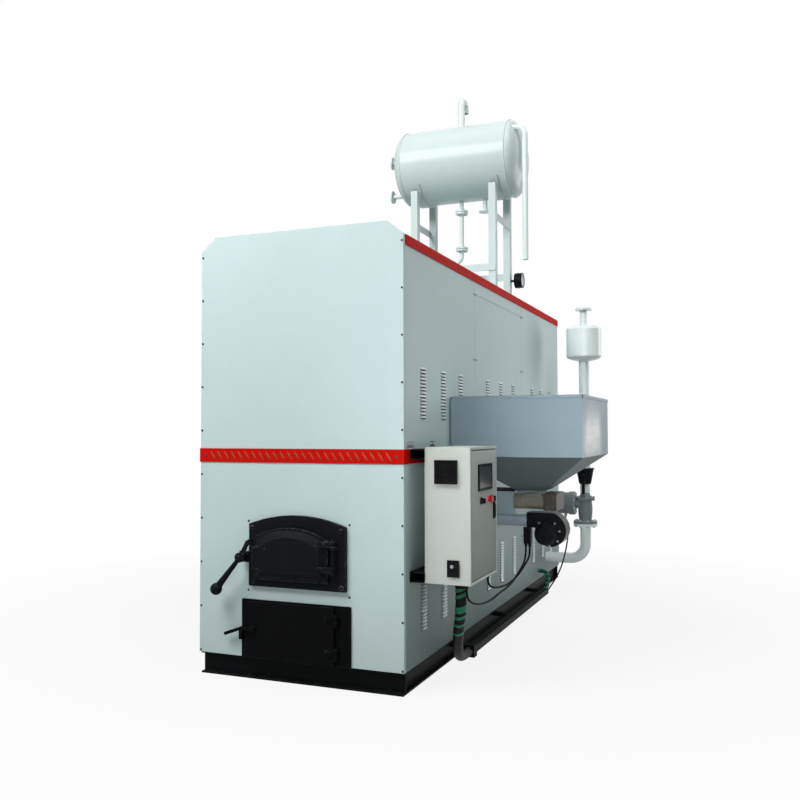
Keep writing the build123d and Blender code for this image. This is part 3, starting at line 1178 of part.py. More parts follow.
VENT_TOP_Z = TANK_TOP_Z + VENT_RISE
VENT_OUT_Y = TANK_Y + 2 * VENT_BEND
VENT_MOUTH_Z = VENT_TOP_Z - VENT_DROP - VENT_BEND
OVERFLOW_Y = TANK_Y - OVERFLOW_ASIDE
OVERFLOW_Z = TANK_Z + OVERFLOW_UP
OVERFLOW_X = TANK_TIP_X + OVERFLOW_OUT
OVERFLOW_END_Z = ROOF_Z + OVERFLOW_END_RISE
EXPANSION_TURN_Z = ROOF_Z + EXPANSION_RISE
EXPANSION_FALL = TANK_FOOT_Z - EXPANSION_TURN_Z
EXPANSION_START_Z = TANK_FOOT_Z + TANK_WALL
with BuildPart() as tank_pipes:
    with BuildLine() as vent_route:
        FilletPolyline(
            (0, TANK_Y, TANK_Z),
            (0, TANK_Y, VENT_TOP_Z),
            (0, VENT_OUT_Y, VENT_TOP_Z),
            (0, VENT_OUT_Y, VENT_MOUTH_Z),
            radius=VENT_BEND * VENT_BEND_SHARE,
        )
    with BuildSketch(facing_up(0, TANK_Y, TANK_Z)):
        Circle(VENT_R)
    sweep(path=vent_route.line)
    disc(facing_up(0, VENT_OUT_Y, VENT_MOUTH_Z), VENT_R - VENT_WALL, VENT_DROP, mode=Mode.SUBTRACT)
    with BuildLine() as overflow_route:
        FilletPolyline(
            (TANK_END_X, OVERFLOW_Y, OVERFLOW_Z),
            (OVERFLOW_X, OVERFLOW_Y, OVERFLOW_Z),
            (OVERFLOW_X, OVERFLOW_Y, OVERFLOW_END_Z),
            radius=OVERFLOW_BEND,
        )
    with BuildSketch(facing_right(TANK_END_X, OVERFLOW_Y, OVERFLOW_Z)):
        Circle(OVERFLOW_R)
    sweep(path=overflow_route.line)
    overflow_bore = OVERFLOW_R - VENT_WALL
    disc(facing_up(OVERFLOW_X, OVERFLOW_Y, OVERFLOW_END_Z), overflow_bore, VENT_DROP, mode=Mode.SUBTRACT)
    with BuildLine() as expansion_route:
        FilletPolyline(
            (0, TANK_Y, EXPANSION_START_Z),
            (0, TANK_Y, EXPANSION_TURN_Z),
            (-EXPANSION_OUT, TANK_Y, EXPANSION_TURN_Z),
            (-EXPANSION_OUT, TANK_Y, ROOF_Z),
            radius=EXPANSION_BEND,
        )
    with BuildSketch(facing_down(0, TANK_Y, EXPANSION_START_Z)):
        Circle(EXPANSION_R)
    sweep(path=expansion_route.line)
    for share in EXPANSION_FLANGE_SHARES:
        flange_z = TANK_FOOT_Z - share * EXPANSION_FALL
        disc(facing_up(0, TANK_Y, flange_z), EXPANSION_FLANGE_R, EXPANSION_FLANGE_T)
        disc(facing_down(0, TANK_Y, flange_z - PANEL_SEAM), EXPANSION_FLANGE_R, EXPANSION_FLANGE_T)
    trim_to_tank()
    dish(1, SEAT_GAP, mode=Mode.SUBTRACT)

NOZZLE_X = -TANK_TIP_X - NOZZLE_OUT
DRAIN_Z = TANK_FOOT_Z - DRAIN_L
with BuildPart() as tank_nozzles:
    for up in NOZZLE_UPS:
        nozzle_l = -NOZZLE_X - TANK_END_X
        disc(facing_right(NOZZLE_X, TANK_Y, TANK_Z + up), DRAIN_R, nozzle_l)
        disc(facing_right(NOZZLE_X, TANK_Y, TANK_Z + up), DRAIN_FLANGE_R, DRAIN_FLANGE_T)
        face = facing_left(NOZZLE_X, TANK_Y, TANK_Z + up)
        bolt_ring(face, NOZZLE_BOLT_PCD, NOZZLE_BOLT_R, DRAIN_FLANGE_T)
    disc(facing_up(DRAIN_X, TANK_Y, DRAIN_Z), DRAIN_R, DRAIN_L + TANK_WALL)
    disc(facing_up(DRAIN_X, TANK_Y, DRAIN_Z), DRAIN_FLANGE_R, DRAIN_FLANGE_T)
    bolt_ring(facing_down(DRAIN_X, TANK_Y, DRAIN_Z), NOZZLE_BOLT_PCD, NOZZLE_BOLT_R, DRAIN_FLANGE_T)
    trim_to_tank()
    dish(-1, SEAT_GAP, mode=Mode.SUBTRACT)

GAUGE_X = LEG_OUT_X
GAUGE_Y = TANK_Y + LEG_Y - LEG_S / 2
GAUGE_Z = ROOF_Z + GAUGE_RISE
with BuildPart() as dial_gauge:
    disc(facing_right(GAUGE_X, GAUGE_Y, GAUGE_Z), GAUGE_STEM_R, GAUGE_STEM_L)
    disc(facing_right(GAUGE_X + GAUGE_STEM_L, GAUGE_Y, GAUGE_Z), GAUGE_R, GAUGE_T)

# Cable channel beside the skid
CHANNEL_X = SKID_W / 2 + CHANNEL_GAP
CHANNEL_Y = FRONT_Y + CHANNEL_BACK
CHANNEL_END_Y = CHANNEL_Y + CHANNEL_L
CHANNEL_MID_X = CHANNEL_X + CHANNEL_W / 2
CHANNEL_TOP_Z = CHANNEL_LIFT + CHANNEL_H
CHANNEL_MID_Z = CHANNEL_LIFT + CHANNEL_H / 2
with BuildPart() as cable_channel:
    slab((CHANNEL_X, CHANNEL_X + CHANNEL_W), (CHANNEL_Y, CHANNEL_END_Y), (CHANNEL_LIFT, CHANNEL_TOP_Z))
    for share in CHANNEL_ARM_SHARES:
        mid = CHANNEL_Y + share * CHANNEL_L
        slab(
            (SKID_W / 2 - SKID_FLANGE_W + SKID_WEB_T, CHANNEL_X),
            (mid - CHANNEL_ARM_W / 2, mid + CHANNEL_ARM_W / 2),
            (CHANNEL_TOP_Z - CHANNEL_ARM_H, CHANNEL_TOP_Z),
        )
    slab(
        (CHANNEL_MID_X - COLLAR_S / 2, CHANNEL_MID_X + COLLAR_S / 2),
        (CHANNEL_Y, CHANNEL_Y + COLLAR_L),
        (CHANNEL_MID_Z - COLLAR_S / 2, CHANNEL_MID_Z + COLLAR_S / 2),
    )

# Cords: conduit to the channel, cables to the plug and the pump
DOWN = (0, 0, -CABLE_LEAD)


def under_cabinet(x_share, y_share):
    """Point on the underside of the cabinet."""
    return (CABINET_X + x_share * CABINET_D, CABINET_Y + y_share * CABINET_W, CABINET_Z)


with BuildPart() as conduit:
    route = hang(
        under_cabinet(CONDUIT_X_SHARE, CONDUIT_Y_SHARE),
        (0, 0, -CONDUIT_LEAD),
        (CHANNEL_MID_X, CHANNEL_Y, CHANNEL_MID_Z),
        (0, -CONDUIT_LEAD, 0),
        CONDUIT_SHARES,
    )
    tube(route, CONDUIT_D, "conduit")

PLUG_MID_X = PLUG_X + PLUG_W / 2
PLUG_MID_Y = BLOWER_FACE_Y + PLUG_D / 2
with BuildPart() as burner_cable:
    route = hang(
        under_cabinet(BURNER_CABLE_X_SHARE, BURNER_CABLE_Y_SHARE),
        DOWN,
        (PLUG_MID_X + CABLE_D, PLUG_MID_Y, PLUG_FOOT_Z),
        DOWN,
        BURNER_CABLE_SHARES,
    )
    tube(route, CABLE_D, "burner_cable")

with BuildPart() as feeder_cable:
    route = hang(
        under_cabinet(FEEDER_CABLE_X_SHARE, FEEDER_CABLE_Y_SHARE),
        DOWN,
        (PLUG_MID_X - CABLE_D, PLUG_MID_Y, PLUG_FOOT_Z),
        DOWN,
        FEEDER_CABLE_SHARES,
    )
    tube(route, CABLE_D, "feeder_cable")

with BuildPart() as pump_cable:
    route = hang(
        (CHANNEL_X + CHANNEL_W - CABLE_D, CHANNEL_END_Y, CHANNEL_MID_Z),
        (0, CABLE_LEAD, 0),
        (PUMP_GLAND_X, PUMP_Y, PUMP_AXIS_Z - PUMP_VOLUTE_R - GLAND_H),
        DOWN,
        PUMP_CABLE_SHARES,
    )
    tube(route, CABLE_D, "pump_cable")

# Wrapped duct from the casing side to the far end of the channel
with BuildPart() as wrapped_duct:
    route = hang(
        (SIDE_X, CHANNEL_END_Y + WRAP_AHEAD, WRAP_Z),
        (WRAP_LEAD, 0, 0),
        (CHANNEL_X + WRAP_D / 2, CHANNEL_END_Y, CHANNEL_MID_Z),
        (0, WRAP_LEAD, 0),
        WRAP_SHARES,
    )
    tube(route, WRAP_D, "wrapped_duct")

NODES = {
    "skid_sides": skid_sides,
    "skid_members": skid_members,
    "floor_plate": floor_plate,
    "front_lower_panel": front_lower_panel,
    "front_upper_panel": front_upper_panel,
    "side_panels": side_panels,
    "rear_panel": rear_panel,
    "roof_panel": roof_panel,
    "red_bands": red_bands,
    "furnace_block": furnace_block,
    "furnace_crown": furnace_crown,
    "firebox_walls": firebox_walls,
    "ash_pit_walls": ash_pit_walls,
    "grate": grate,
    "fire_door_frame": fire_door_frame,
    "fire_door": fire_door,
    "fire_door_lever": fire_door_lever,
    "ash_door_frame": ash_door_frame,
    "ash_door": ash_door,
    "ash_door_latch": ash_door_latch,
    "cabinet_brackets": cabinet_brackets,
    "cabinet_shell": cabinet_shell,
    "cabinet_door": cabinet_door,
    "door_controls": door_controls,
    "cabinet_vents": cabinet_vents,
    "hopper_bin": hopper_bin,
    "hopper_cone": hopper_cone,
    "burner_body": burner_body,
    "feed_screw": feed_screw,
    "feed_gearbox": feed_gearbox,
    "feed_motor": feed_motor,
    "air_duct": air_duct,
    "blower_housing": blower_housing,
    "blower_motor": blower_motor,
    "blower_plug": blower_plug,
    "line_pipes": line_pipes,
    "pump_body": pump_body,
    "circulation_pump": circulation_pump,
    "shutoff_valve": shutoff_valve,
    "valve_lever": valve_lever,
    "oil_gas_separator": oil_gas_separator,
    "tank_shell": tank_shell,
    "tank_ends": tank_ends,
    "tank_legs": tank_legs,
    "tank_cradles": tank_cradles,
    "tank_braces": tank_braces,
    "tank_pipes": tank_pipes,
    "tank_nozzles": tank_nozzles,
    "dial_gauge": dial_gauge,
    "cable_channel": cable_channel,
    "conduit": conduit,
    "burner_cable": burner_cable,
    "feeder_cable": feeder_cable,
    "pump_cable": pump_cable,
    "wrapped_duct": wrapped_duct,
}

os.makedirs("parts", exist_ok=True)
for label, builder in NODES.items():
    builder.part.label = label
    export_step(builder.part, f"parts/{label}.step")
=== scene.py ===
"""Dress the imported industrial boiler: its finishes, small fittings, cords, studio and camera."""

import logging
import math
from contextlib import contextmanager
from dataclasses import dataclass
from enum import Enum
from typing import Any, Iterable, Iterator, Sequence

import bmesh
import bpy
from mathutils import Matrix, Vector


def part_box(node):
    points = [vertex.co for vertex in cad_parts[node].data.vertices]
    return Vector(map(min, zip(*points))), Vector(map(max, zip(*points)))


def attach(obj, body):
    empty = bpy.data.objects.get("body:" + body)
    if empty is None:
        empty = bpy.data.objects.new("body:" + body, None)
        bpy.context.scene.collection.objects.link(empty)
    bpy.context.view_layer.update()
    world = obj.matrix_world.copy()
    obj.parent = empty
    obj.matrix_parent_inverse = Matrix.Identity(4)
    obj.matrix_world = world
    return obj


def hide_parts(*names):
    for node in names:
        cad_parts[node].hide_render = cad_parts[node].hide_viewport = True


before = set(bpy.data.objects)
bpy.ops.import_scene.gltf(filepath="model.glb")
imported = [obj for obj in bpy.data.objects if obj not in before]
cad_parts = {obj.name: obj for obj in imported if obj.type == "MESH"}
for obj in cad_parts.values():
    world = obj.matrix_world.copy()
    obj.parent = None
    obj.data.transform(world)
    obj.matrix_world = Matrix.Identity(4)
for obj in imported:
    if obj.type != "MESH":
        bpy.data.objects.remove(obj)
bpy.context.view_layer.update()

LOG = logging.getLogger("boiler")
MM = 0.001
SMOOTH_ANGLE = math.radians(35.0)
# Points closer than this are merged
WELD = 0.00005
# A face looks one way when its normal's share along it is above this
FACING = 0.99
# Rays that find a rounded edge
BEVEL_SAMPLES = 4
# A wave texture repeats every pi / 10 over its scale
WAVE_SCALE = math.pi / 10

Pair = tuple[float, float]
Point = tuple[float, float, float]
Steps = tuple[Pair, ...]
Tree = bpy.types.NodeTree
Node = bpy.types.Node
Socket = bpy.types.NodeSocket
Piece = bpy.types.Object

# Profiles of turned pieces, as shares of their height and radius
WASHER_SHARES = ((0.0, 1.15), (0.18, 1.15))
HEAD_SHARES = ((0.0, 1.0), (0.85, 1.0), (1.0, 0.84))
SCREW_SHARES = ((0.0, 1.0), (0.45, 0.98), (1.0, 0.62), (1.0, 0.36), (0.5, 0.28))
RIVET_SHARES = ((0.0, 1.0), (0.5, 0.9), (0.85, 0.6), (1.0, 0.2))
GLAND_SHARES = ((0.0, 1.0), (0.5, 1.0), (0.5, 0.92), (1.0, 0.84))
KNOB_SHARES = ((0.0, 1.2), (0.2, 1.2), (0.3, 1.0), (0.9, 0.9), (1.0, 0.8))
CAP_SHARES = ((-0.4, 1.0), (0.2, 1.0), (0.5, 0.92), (0.5, 0.6), (0.9, 0.55), (1.0, 0.35))


class Body(Enum):
    """The rigid bodies that a new piece can ride on."""

    BOILER = "boiler"
    FIRE_DOOR = "fire_door"
    ASH_DOOR = "ash_door"
    CABINET_DOOR = "cabinet_door"


class Way(Enum):
    """Directions that a turned piece or a bolt can point."""

    RIGHT = (1.0, 0.0, 0.0)
    LEFT = (-1.0, 0.0, 0.0)
    FRONT = (0.0, -1.0, 0.0)
    UP = (0.0, 0.0, 1.0)
    DOWN = (0.0, 0.0, -1.0)


Places = Iterable[tuple[Sequence[float], Way]]


def turn_to(direction: Sequence[float]) -> Matrix:
    """Return the rotation that takes +Z to a direction."""
    return Vector((0, 0, 1)).rotation_difference(Vector(direction)).to_matrix().to_4x4()


def profile(shares: Steps, height: float, radius: float) -> Steps:
    """Return a turned piece's steps from shares of its height and radius."""
    return tuple((along * height, across * radius) for along, across in shares)


def circle(radius: float, count: int, start: float) -> list[Pair]:
    """Space holes evenly on a circle.

    Args:
        radius: The circle's radius.
        count: The number of holes.
        start: Where the first hole lies, as a share of a step.

    Returns:
        Each hole's offset across and along.
    """
    angles = [math.tau * (step + start) / count for step in range(count)]
    return [(radius * math.cos(angle), radius * math.sin(angle)) for angle in angles]


def linear(code: str) -> tuple[float, float, float, float]:
    """Turn an sRGB hex colour into linear light.

    Args:
        code: Six hex digits after a hash sign.

    Returns:
        Linear red, green and blue, and a full alpha.
    """
    values = []
    for start in (1, 3, 5):
        part = int(code[start : start + 2], 16) / 255
        values.append(part / 12.92 if part <= 0.04045 else ((part + 0.055) / 1.055) ** 2.4)
    return (values[0], values[1], values[2], 1.0)


def add_node(
    tree: Tree,
    kind: str,
    settings: dict[Any, Any] | None = None,
    links: dict[Any, Socket] | None = None,
) -> Node:
    """Add a shader node with its settings and links.

    Args:
        tree: The tree that gets the node.
        kind: The node's type name.
        settings: Values of inputs, by name or number, or of the node's own settings.
        links: The output socket that feeds each named or numbered input.

    Returns:
        The new node.
    """
    node = tree.nodes.new(kind)
    for key, value in (settings or {}).items():
        if isinstance(key, int) or key in node.inputs:
            node.inputs[key].default_value = value
        else:
            setattr(node, key, value)
    for key, socket in (links or {}).items():
        tree.links.new(socket, node.inputs[key])
    return node


def overlap(tree: Tree, shares: Sequence[Socket]) -> Socket:
    """Find the share of a surface where several shares hold at once.

    Args:
        tree: The material's node tree.
        shares: Sockets from zero to one.

    Returns:
        Their product.
    """
    product = shares[0]
    for share in shares[1:]:
        both = {0: product, 1: share}
        product = add_node(tree, "ShaderNodeMath", {"operation": "MULTIPLY"}, both).outputs["Value"]
    return product


def per_metre(size_mm: float) -> float:
    """Return the texture scale at which a feature has a size in millimetres."""
    return 1000.0 / size_mm


@dataclass(frozen=True)
class Finish:
    """A surface finish with a colour, a second tone and a roughness."""

    name: str
    colour: str
    tone: str
    roughness: float = 0.5
    metallic: float = 0.0
    mottle_mm: float = 300.0
    grain_mm: float = 6.0
    grain_height_mm: float = 0.15
    grain_strength: float = 0.4
    rough_spread: float = 0.08
    specular: float = 0.5
    edge_mm: float = 2.5

    def material(self) -> bpy.types.Material:
        """Make the finish's material on first use.

        Returns:
            The material, the same one each time.
        """
        made = bpy.data.materials.get(self.name)
        if made:
            return made
        made = bpy.data.materials.new(self.name)
        made.use_nodes = True
        tree = made.node_tree
        shader = tree.nodes["Principled BSDF"]
        shader.inputs["Metallic"].default_value = self.metallic
        shader.inputs["Specular IOR Level"].default_value = self.specular
        self.shade(tree, shader)
        return made

    def shade(self, tree: Tree, shader: Node) -> None:
        """Give the shader its colour, roughness and grain.

        Args:
            tree: The material's node tree.
            shader: The principled shader in it.
        """
        place = add_node(tree, "ShaderNodeTexCoord").outputs["Object"]
        tree.links.new(self.mottled(tree, place), shader.inputs["Base Color"])
        self.grained(tree, shader, place)

    def mottled(self, tree: Tree, place: Socket) -> Socket:
        """Blend the two tones in soft patches.

        Args:
            tree: The material's node tree.
            place: The coordinates that the patches follow.

        Returns:
            The blended colour.
        """
        patches = add_node(
            tree,
            "ShaderNodeTexNoise",
            {"Scale": per_metre(self.mottle_mm), "Detail": 5.0, "Roughness": 0.6},
            {"Vector": place},
        )
        blend = add_node(
            tree,
            "ShaderNodeMix",
            {"data_type": "RGBA", 6: linear(self.colour), 7: linear(self.tone)},
            {0: patches.outputs["Fac"]},
        )
        return blend.outputs[2]

    def cover(self, tree: Tree, shader: Node, under: Socket, over: str, share: Socket) -> None:
        """Give the shader one colour with another laid over part of it.

        Args:
            tree: The material's node tree.
            shader: The principled shader in it.
            under: The colour underneath.
            over: The colour laid over it.
            share: Where the upper colour shows.
        """
        colours = {"data_type": "RGBA", 7: linear(over)}
        blend = add_node(tree, "ShaderNodeMix", colours, {0: share, 6: under})
        tree.links.new(blend.outputs[2], shader.inputs["Base Color"])

    def grained(self, tree: Tree, shader: Node, place: Socket) -> None:
        """Vary the roughness and raise a fine grain.

        Args:
            tree: The material's node tree.
            shader: The principled shader in it.
            place: The coordinates that the grain follows.
        """
        grain = add_node(
            tree,
            "ShaderNodeTexNoise",
            {"Scale": per_metre(self.grain_mm), "Detail": 3.0},
            {"Vector": place},
        )
        spread = add_node(
            tree,
            "ShaderNodeMapRange",
            {"To Min": self.roughness - self.rough_spread, "To Max": self.roughness + self.rough_spread},
            {"Value": grain.outputs["Fac"]},
        )
        tree.links.new(spread.outputs["Result"], shader.inputs["Roughness"])
        soft = add_node(tree, "ShaderNodeBevel", {"samples": BEVEL_SAMPLES, "Radius": self.edge_mm * MM})
        bump = add_node(
            tree,
            "ShaderNodeBump",
            {"Strength": self.grain_strength, "Distance": self.grain_height_mm * MM},
            {"Height": grain.outputs["Fac"], "Normal": soft.outputs["Normal"]},
        )
        tree.links.new(bump.outputs["Normal"], shader.inputs["Normal"])


@dataclass(frozen=True)
class WearAndGlintFinish(Finish):
    """Paint over iron or steel that is rubbed thin along its edges; where the edge colour is pale, as on the
    cast iron, it is also a painted highlight.
    """

    wear_and_glint: str = "#5A5F60"
    rub_mm: float = 5.0
    rub_band: Pair = (0.97, 0.80)
    scuff_mm: float = 35.0
    scuff_band: Pair = (0.42, 0.62)
    wear_and_glint_share: float = 0.7

    def shade(self, tree: Tree, shader: Node) -> None:
        """Add rubbed edges to the mottled paint: wear, and on the cast iron a painted highlight too.

        Args:
            tree: The material's node tree.
            shader: The principled shader in it.
        """
        place = add_node(tree, "ShaderNodeTexCoord").outputs["Object"]
        colour = self.mottled(tree, place)
        soft = add_node(tree, "ShaderNodeBevel", {"samples": BEVEL_SAMPLES, "Radius": self.rub_mm * MM})
        sharp = add_node(tree, "ShaderNodeNewGeometry")
        match = add_node(
            tree,
            "ShaderNodeVectorMath",
            {"operation": "DOT_PRODUCT"},
            {0: soft.outputs["Normal"], 1: sharp.outputs["Normal"]},
        )
        edge = add_node(
            tree,
            "ShaderNodeMapRange",
            {"From Min": self.rub_band[0], "From Max": self.rub_band[1]},
            {"Value": match.outputs["Value"]},
        )
        scuffs = add_node(
            tree,
            "ShaderNodeTexNoise",
            {"Scale": per_metre(self.scuff_mm), "Detail": 6.0, "Roughness": 0.7},
            {"Vector": place},
        )
        broken = add_node(
            tree,
            "ShaderNodeMapRange",
            {"From Min": self.scuff_band[0], "From Max": self.scuff_band[1], "To Max": self.wear_and_glint_share},
            {"Value": scuffs.outputs["Fac"]},
        )
        share = overlap(tree, (edge.outputs["Result"], broken.outputs["Result"]))
        self.cover(tree, shader, colour, self.wear_and_glint, share)
        self.grained(tree, shader, place)


@dataclass(frozen=True)
class CoatedSheet(Finish):
    """Coated sheet steel: soft sheen, faint waves, and a colour that darkens towards the floor for dust and
    painted shade.
    """

    coat_strength: float = 0.25
    dust_and_shade: str = "#8B968F"
    dust_and_shade_top_mm: float = 700.0
    dust_and_shade_foot_mm: float = 100.0
    dust_and_shade_share: float = 0.35
    wave_mm: float = 600.0
    wave_height_mm: float = 3.0
    wave_strength: float = 0.5

    def shade(self, tree: Tree, shader: Node) -> None:
        """Darken the colour towards the floor, as dust and painted shade, and add the slow waves of thin
        sheet.

        Args:
            tree: The material's node tree.
            shader: The principled shader in it.
        """
        place = add_node(tree, "ShaderNodeTexCoord").outputs["Object"]
        parts = add_node(tree, "ShaderNodeSeparateXYZ", None, {"Vector": place})
        # Darker towards the floor: dust, and on the side walls and the cabinet door mostly painted shade
        low = add_node(
            tree,
            "ShaderNodeMapRange",
            {
                "From Min": self.dust_and_shade_top_mm * MM,
                "From Max": self.dust_and_shade_foot_mm * MM,
                "To Max": self.dust_and_shade_share,
            },
            {"Value": parts.outputs["Z"]},
        )
        self.cover(tree, shader, self.mottled(tree, place), self.dust_and_shade, low.outputs["Result"])
        normal = add_node(
            tree, "ShaderNodeBevel", {"samples": BEVEL_SAMPLES, "Radius": self.edge_mm * MM}
        ).outputs["Normal"]
        for size_mm, detail, strength, height_mm in (
            (self.grain_mm, 3.0, self.coat_strength, self.grain_height_mm),
            (self.wave_mm, 1.0, self.wave_strength, self.wave_height_mm),
        ):
            relief = add_node(
                tree,
                "ShaderNodeTexNoise",
                {"Scale": per_metre(size_mm), "Detail": detail},
                {"Vector": place},
            )
            normal = add_node(
                tree,
                "ShaderNodeBump",
                {"Strength": strength, "Distance": height_mm * MM},
                {"Height": relief.outputs["Fac"], "Normal": normal},
            ).outputs["Normal"]
        tree.links.new(normal, shader.inputs["Normal"])
        shader.inputs["Roughness"].default_value = self.roughness


@dataclass(frozen=True)
class SootedSheet(CoatedSheet):
    """Coated front sheet with soot on the cut edges of the furnace mouths."""

    soot: str = "#1B1917"
    face_y: float = -1.9485
    mouth_half: float = 0.36
    mouth_top: float = 0.95

    def shade(self, tree: Tree, shader: Node) -> None:
        """Blacken what lies behind the sheet's face round the mouths.

        Args:
            tree: The material's node tree.
            shader: The principled shader in it.
        """
        super().shade(tree, shader)
        clean = shader.inputs["Base Color"].links[0].from_socket
        place = add_node(tree, "ShaderNodeTexCoord").outputs["Object"]
        parts = add_node(tree, "ShaderNodeSeparateXYZ", None, {"Vector": place})
        across = add_node(tree, "ShaderNodeMath", {"operation": "ABSOLUTE"}, {0: parts.outputs["X"]})
        inside = []
        for operation, value, limit in (
            ("GREATER_THAN", parts.outputs["Y"], self.face_y),
            ("LESS_THAN", across.outputs["Value"], self.mouth_half),
            ("LESS_THAN", parts.outputs["Z"], self.mouth_top),
        ):
            test = add_node(tree, "ShaderNodeMath", {"operation": operation, 1: limit}, {0: value})
            inside.append(test.outputs["Value"])
        self.cover(tree, shader, clean, self.soot, overlap(tree, inside))


@dataclass(frozen=True)
class PaintedGlareSide(Finish):
    """Paint with a painted glare, a pale metallic reflection, on a ragged patch of one side wall."""

    glare: str = "#C4C5C1"
    wall_x: float = 1.415
    patch_low: Pair = (-1.3, 1.1)
    patch_high: Pair = (-0.5, 1.55)
    patch_edge: float = 0.22
    ragged_mm: float = 200.0
    ragged_reach: float = 0.06
    streak_mm: float = 30.0
    streak_stretch: Point = (1.0, 0.15, 1.0)
    streak_band: Pair = (0.3, 0.7)
    streak_least: float = 0.6

    def shade(self, tree: Tree, shader: Node) -> None:
        """Blend the painted glare into the paint inside the patch.

        Args:
            tree: The material's node tree.
            shader: The principled shader in it.
        """
        place = add_node(tree, "ShaderNodeTexCoord").outputs["Object"]
        colour = self.mottled(tree, place)
        parts = add_node(tree, "ShaderNodeSeparateXYZ", None, {"Vector": place})
        wall = {"operation": "GREATER_THAN", 1: self.wall_x}
        shares = [add_node(tree, "ShaderNodeMath", wall, {0: parts.outputs["X"]}).outputs["Value"]]
        edges = self.ragged(tree, place)
        for axis, low, high in zip("YZ", self.patch_low, self.patch_high):
            for start, end in ((low, low + self.patch_edge), (high, high - self.patch_edge)):
                fade = add_node(
                    tree,
                    "ShaderNodeMapRange",
                    {"interpolation_type": "SMOOTHSTEP", "From Min": start, "From Max": end},
                    {"Value": edges.outputs[axis]},
                )
                shares.append(fade.outputs["Result"])
        drawn = add_node(tree, "ShaderNodeMapping", {"Scale": self.streak_stretch}, {"Vector": place})
        streaks = add_node(
            tree,
            "ShaderNodeTexNoise",
            {"Scale": per_metre(self.streak_mm), "Detail": 5.0},
            {"Vector": drawn.outputs["Vector"]},
        )
        # Streaks that break up the painted glare
        wear_and_glint = add_node(
            tree,
            "ShaderNodeMapRange",
            {"From Min": self.streak_band[0], "From Max": self.streak_band[1], "To Min": self.streak_least},
            {"Value": streaks.outputs["Fac"]},
        )
        # Where the painted glare shows: a reflection painted in as a pale, metallic colour
        share = overlap(tree, [*shares, wear_and_glint.outputs["Result"]])
        self.cover(tree, shader, colour, self.glare, share)
        tree.links.new(share, shader.inputs["Metallic"])
        self.grained(tree, shader, place)

    def ragged(self, tree: Tree, place: Socket) -> Node:
        """Shift the coordinates to and fro, so that the patch has a ragged edge.

        Args:
            tree: The material's node tree.
            place: The plain coordinates.

        Returns:
            A node with the shifted coordinates, one by one.
        """
        noise = add_node(
            tree,
            "ShaderNodeTexNoise",
            {"Scale": per_metre(self.ragged_mm), "Detail": 4.0},
            {"Vector": place},
        )
        reach = self.ragged_reach
        moved = add_node(
            tree,
            "ShaderNodeMapRange",
            {"data_type": "FLOAT_VECTOR", 9: (-reach,) * 3, 10: (reach,) * 3},
            {"Vector": noise.outputs["Color"]},
        )
        both = {0: place, 1: moved.outputs["Vector"]}
        shifted = add_node(tree, "ShaderNodeVectorMath", {"operation": "ADD"}, both)
        return add_node(tree, "ShaderNodeSeparateXYZ", None, {"Vector": shifted.outputs["Vector"]})


@dataclass(frozen=True)
class Banded(Finish):
    """Tube with raised ribs, or tape wound round it, in bands up its height."""

    gap: str = "#101312"
    gap_share: float = 0.0
    gap_edge: float = 0.15
    band_mm: float = 12.0
    band_height_mm: float = 2.0
    band_strength: float = 0.8
    band_waver: float = 0.6

    def shade(self, tree: Tree, shader: Node) -> None:
        """Raise the bands and darken the gaps between them.

        Args:
            tree: The material's node tree.
            shader: The principled shader in it.
        """
        place = add_node(tree, "ShaderNodeTexCoord").outputs["Object"]
        bands = add_node(
            tree,
            "ShaderNodeTexWave",
            {
                "bands_direction": "Z",
                "Scale": WAVE_SCALE * per_metre(self.band_mm),
                "Distortion": self.band_waver,
            },
            {"Vector": place},
        )
        share = add_node(
            tree,
            "ShaderNodeMapRange",
            {"From Min": self.gap_share, "From Max": self.gap_share - self.gap_edge},
            {"Value": bands.outputs["Fac"]},
        )
        self.cover(tree, shader, self.mottled(tree, place), self.gap, share.outputs["Result"])
        bump = add_node(
            tree,
            "ShaderNodeBump",
            {"Strength": self.band_strength, "Distance": self.band_height_mm * MM},
            {"Height": bands.outputs["Fac"]},
        )
        tree.links.new(bump.outputs["Normal"], shader.inputs["Normal"])
        shader.inputs["Roughness"].default_value = self.roughness


# Powder coat of the casing: two pale grey-green tones and a soft sheen
COAT = ("#C6DADA", "#BDD2D1", 0.55)
# The coat on the casing's sheets, a little darker towards the floor
CASING = CoatedSheet("powder_coated_sheet_pale_green", *COAT, grain_mm=4.0, specular=0.12, dust_and_shade_share=0.22)
# The same coat on the lower front, with soot on the cut edges behind the doors
MOUTHS = SootedSheet(
    "powder_coated_sheet_sooted_mouths", *COAT, grain_mm=4.0, specular=0.12, dust_and_shade_share=0.22
)
# The same coat on the side walls, painted darker towards the floor: painted shade under the hopper and the
# cabinet, and some dust
SIDE = CoatedSheet(
    "powder_coated_sheet_shade_and_dust_foot",
    *COAT,
    grain_mm=4.0,
    specular=0.12,
    dust_and_shade="#4A5B55",
    dust_and_shade_top_mm=1200.0,
    dust_and_shade_foot_mm=150.0,
    dust_and_shade_share=0.7,
)
# The same coat stretched over the pressed louvres, painted paler as a painted highlight, and shiny enough to
# catch the light
LIT_LOUVRE = Finish("powder_coat_louvres_painted_highlight", "#D9E7E6", "#CFDEDD", 0.3, grain_mm=4.0, edge_mm=0.5)
# Painted shade in the louvres' slots: dark strips with no shine, standing for the shadow under each hood
SLOT_SHADE = Finish("painted_shade_in_louvre_slots", "#46524F", "#3D4946", 0.7, mottle_mm=60.0, specular=0.05)
# Brushed enamel on the band and the roof trim: bright red with hardly any shine
RED = Finish("enamel_red", "#CC1A12", "#BA150F", 0.45, mottle_mm=200.0, specular=0.01)
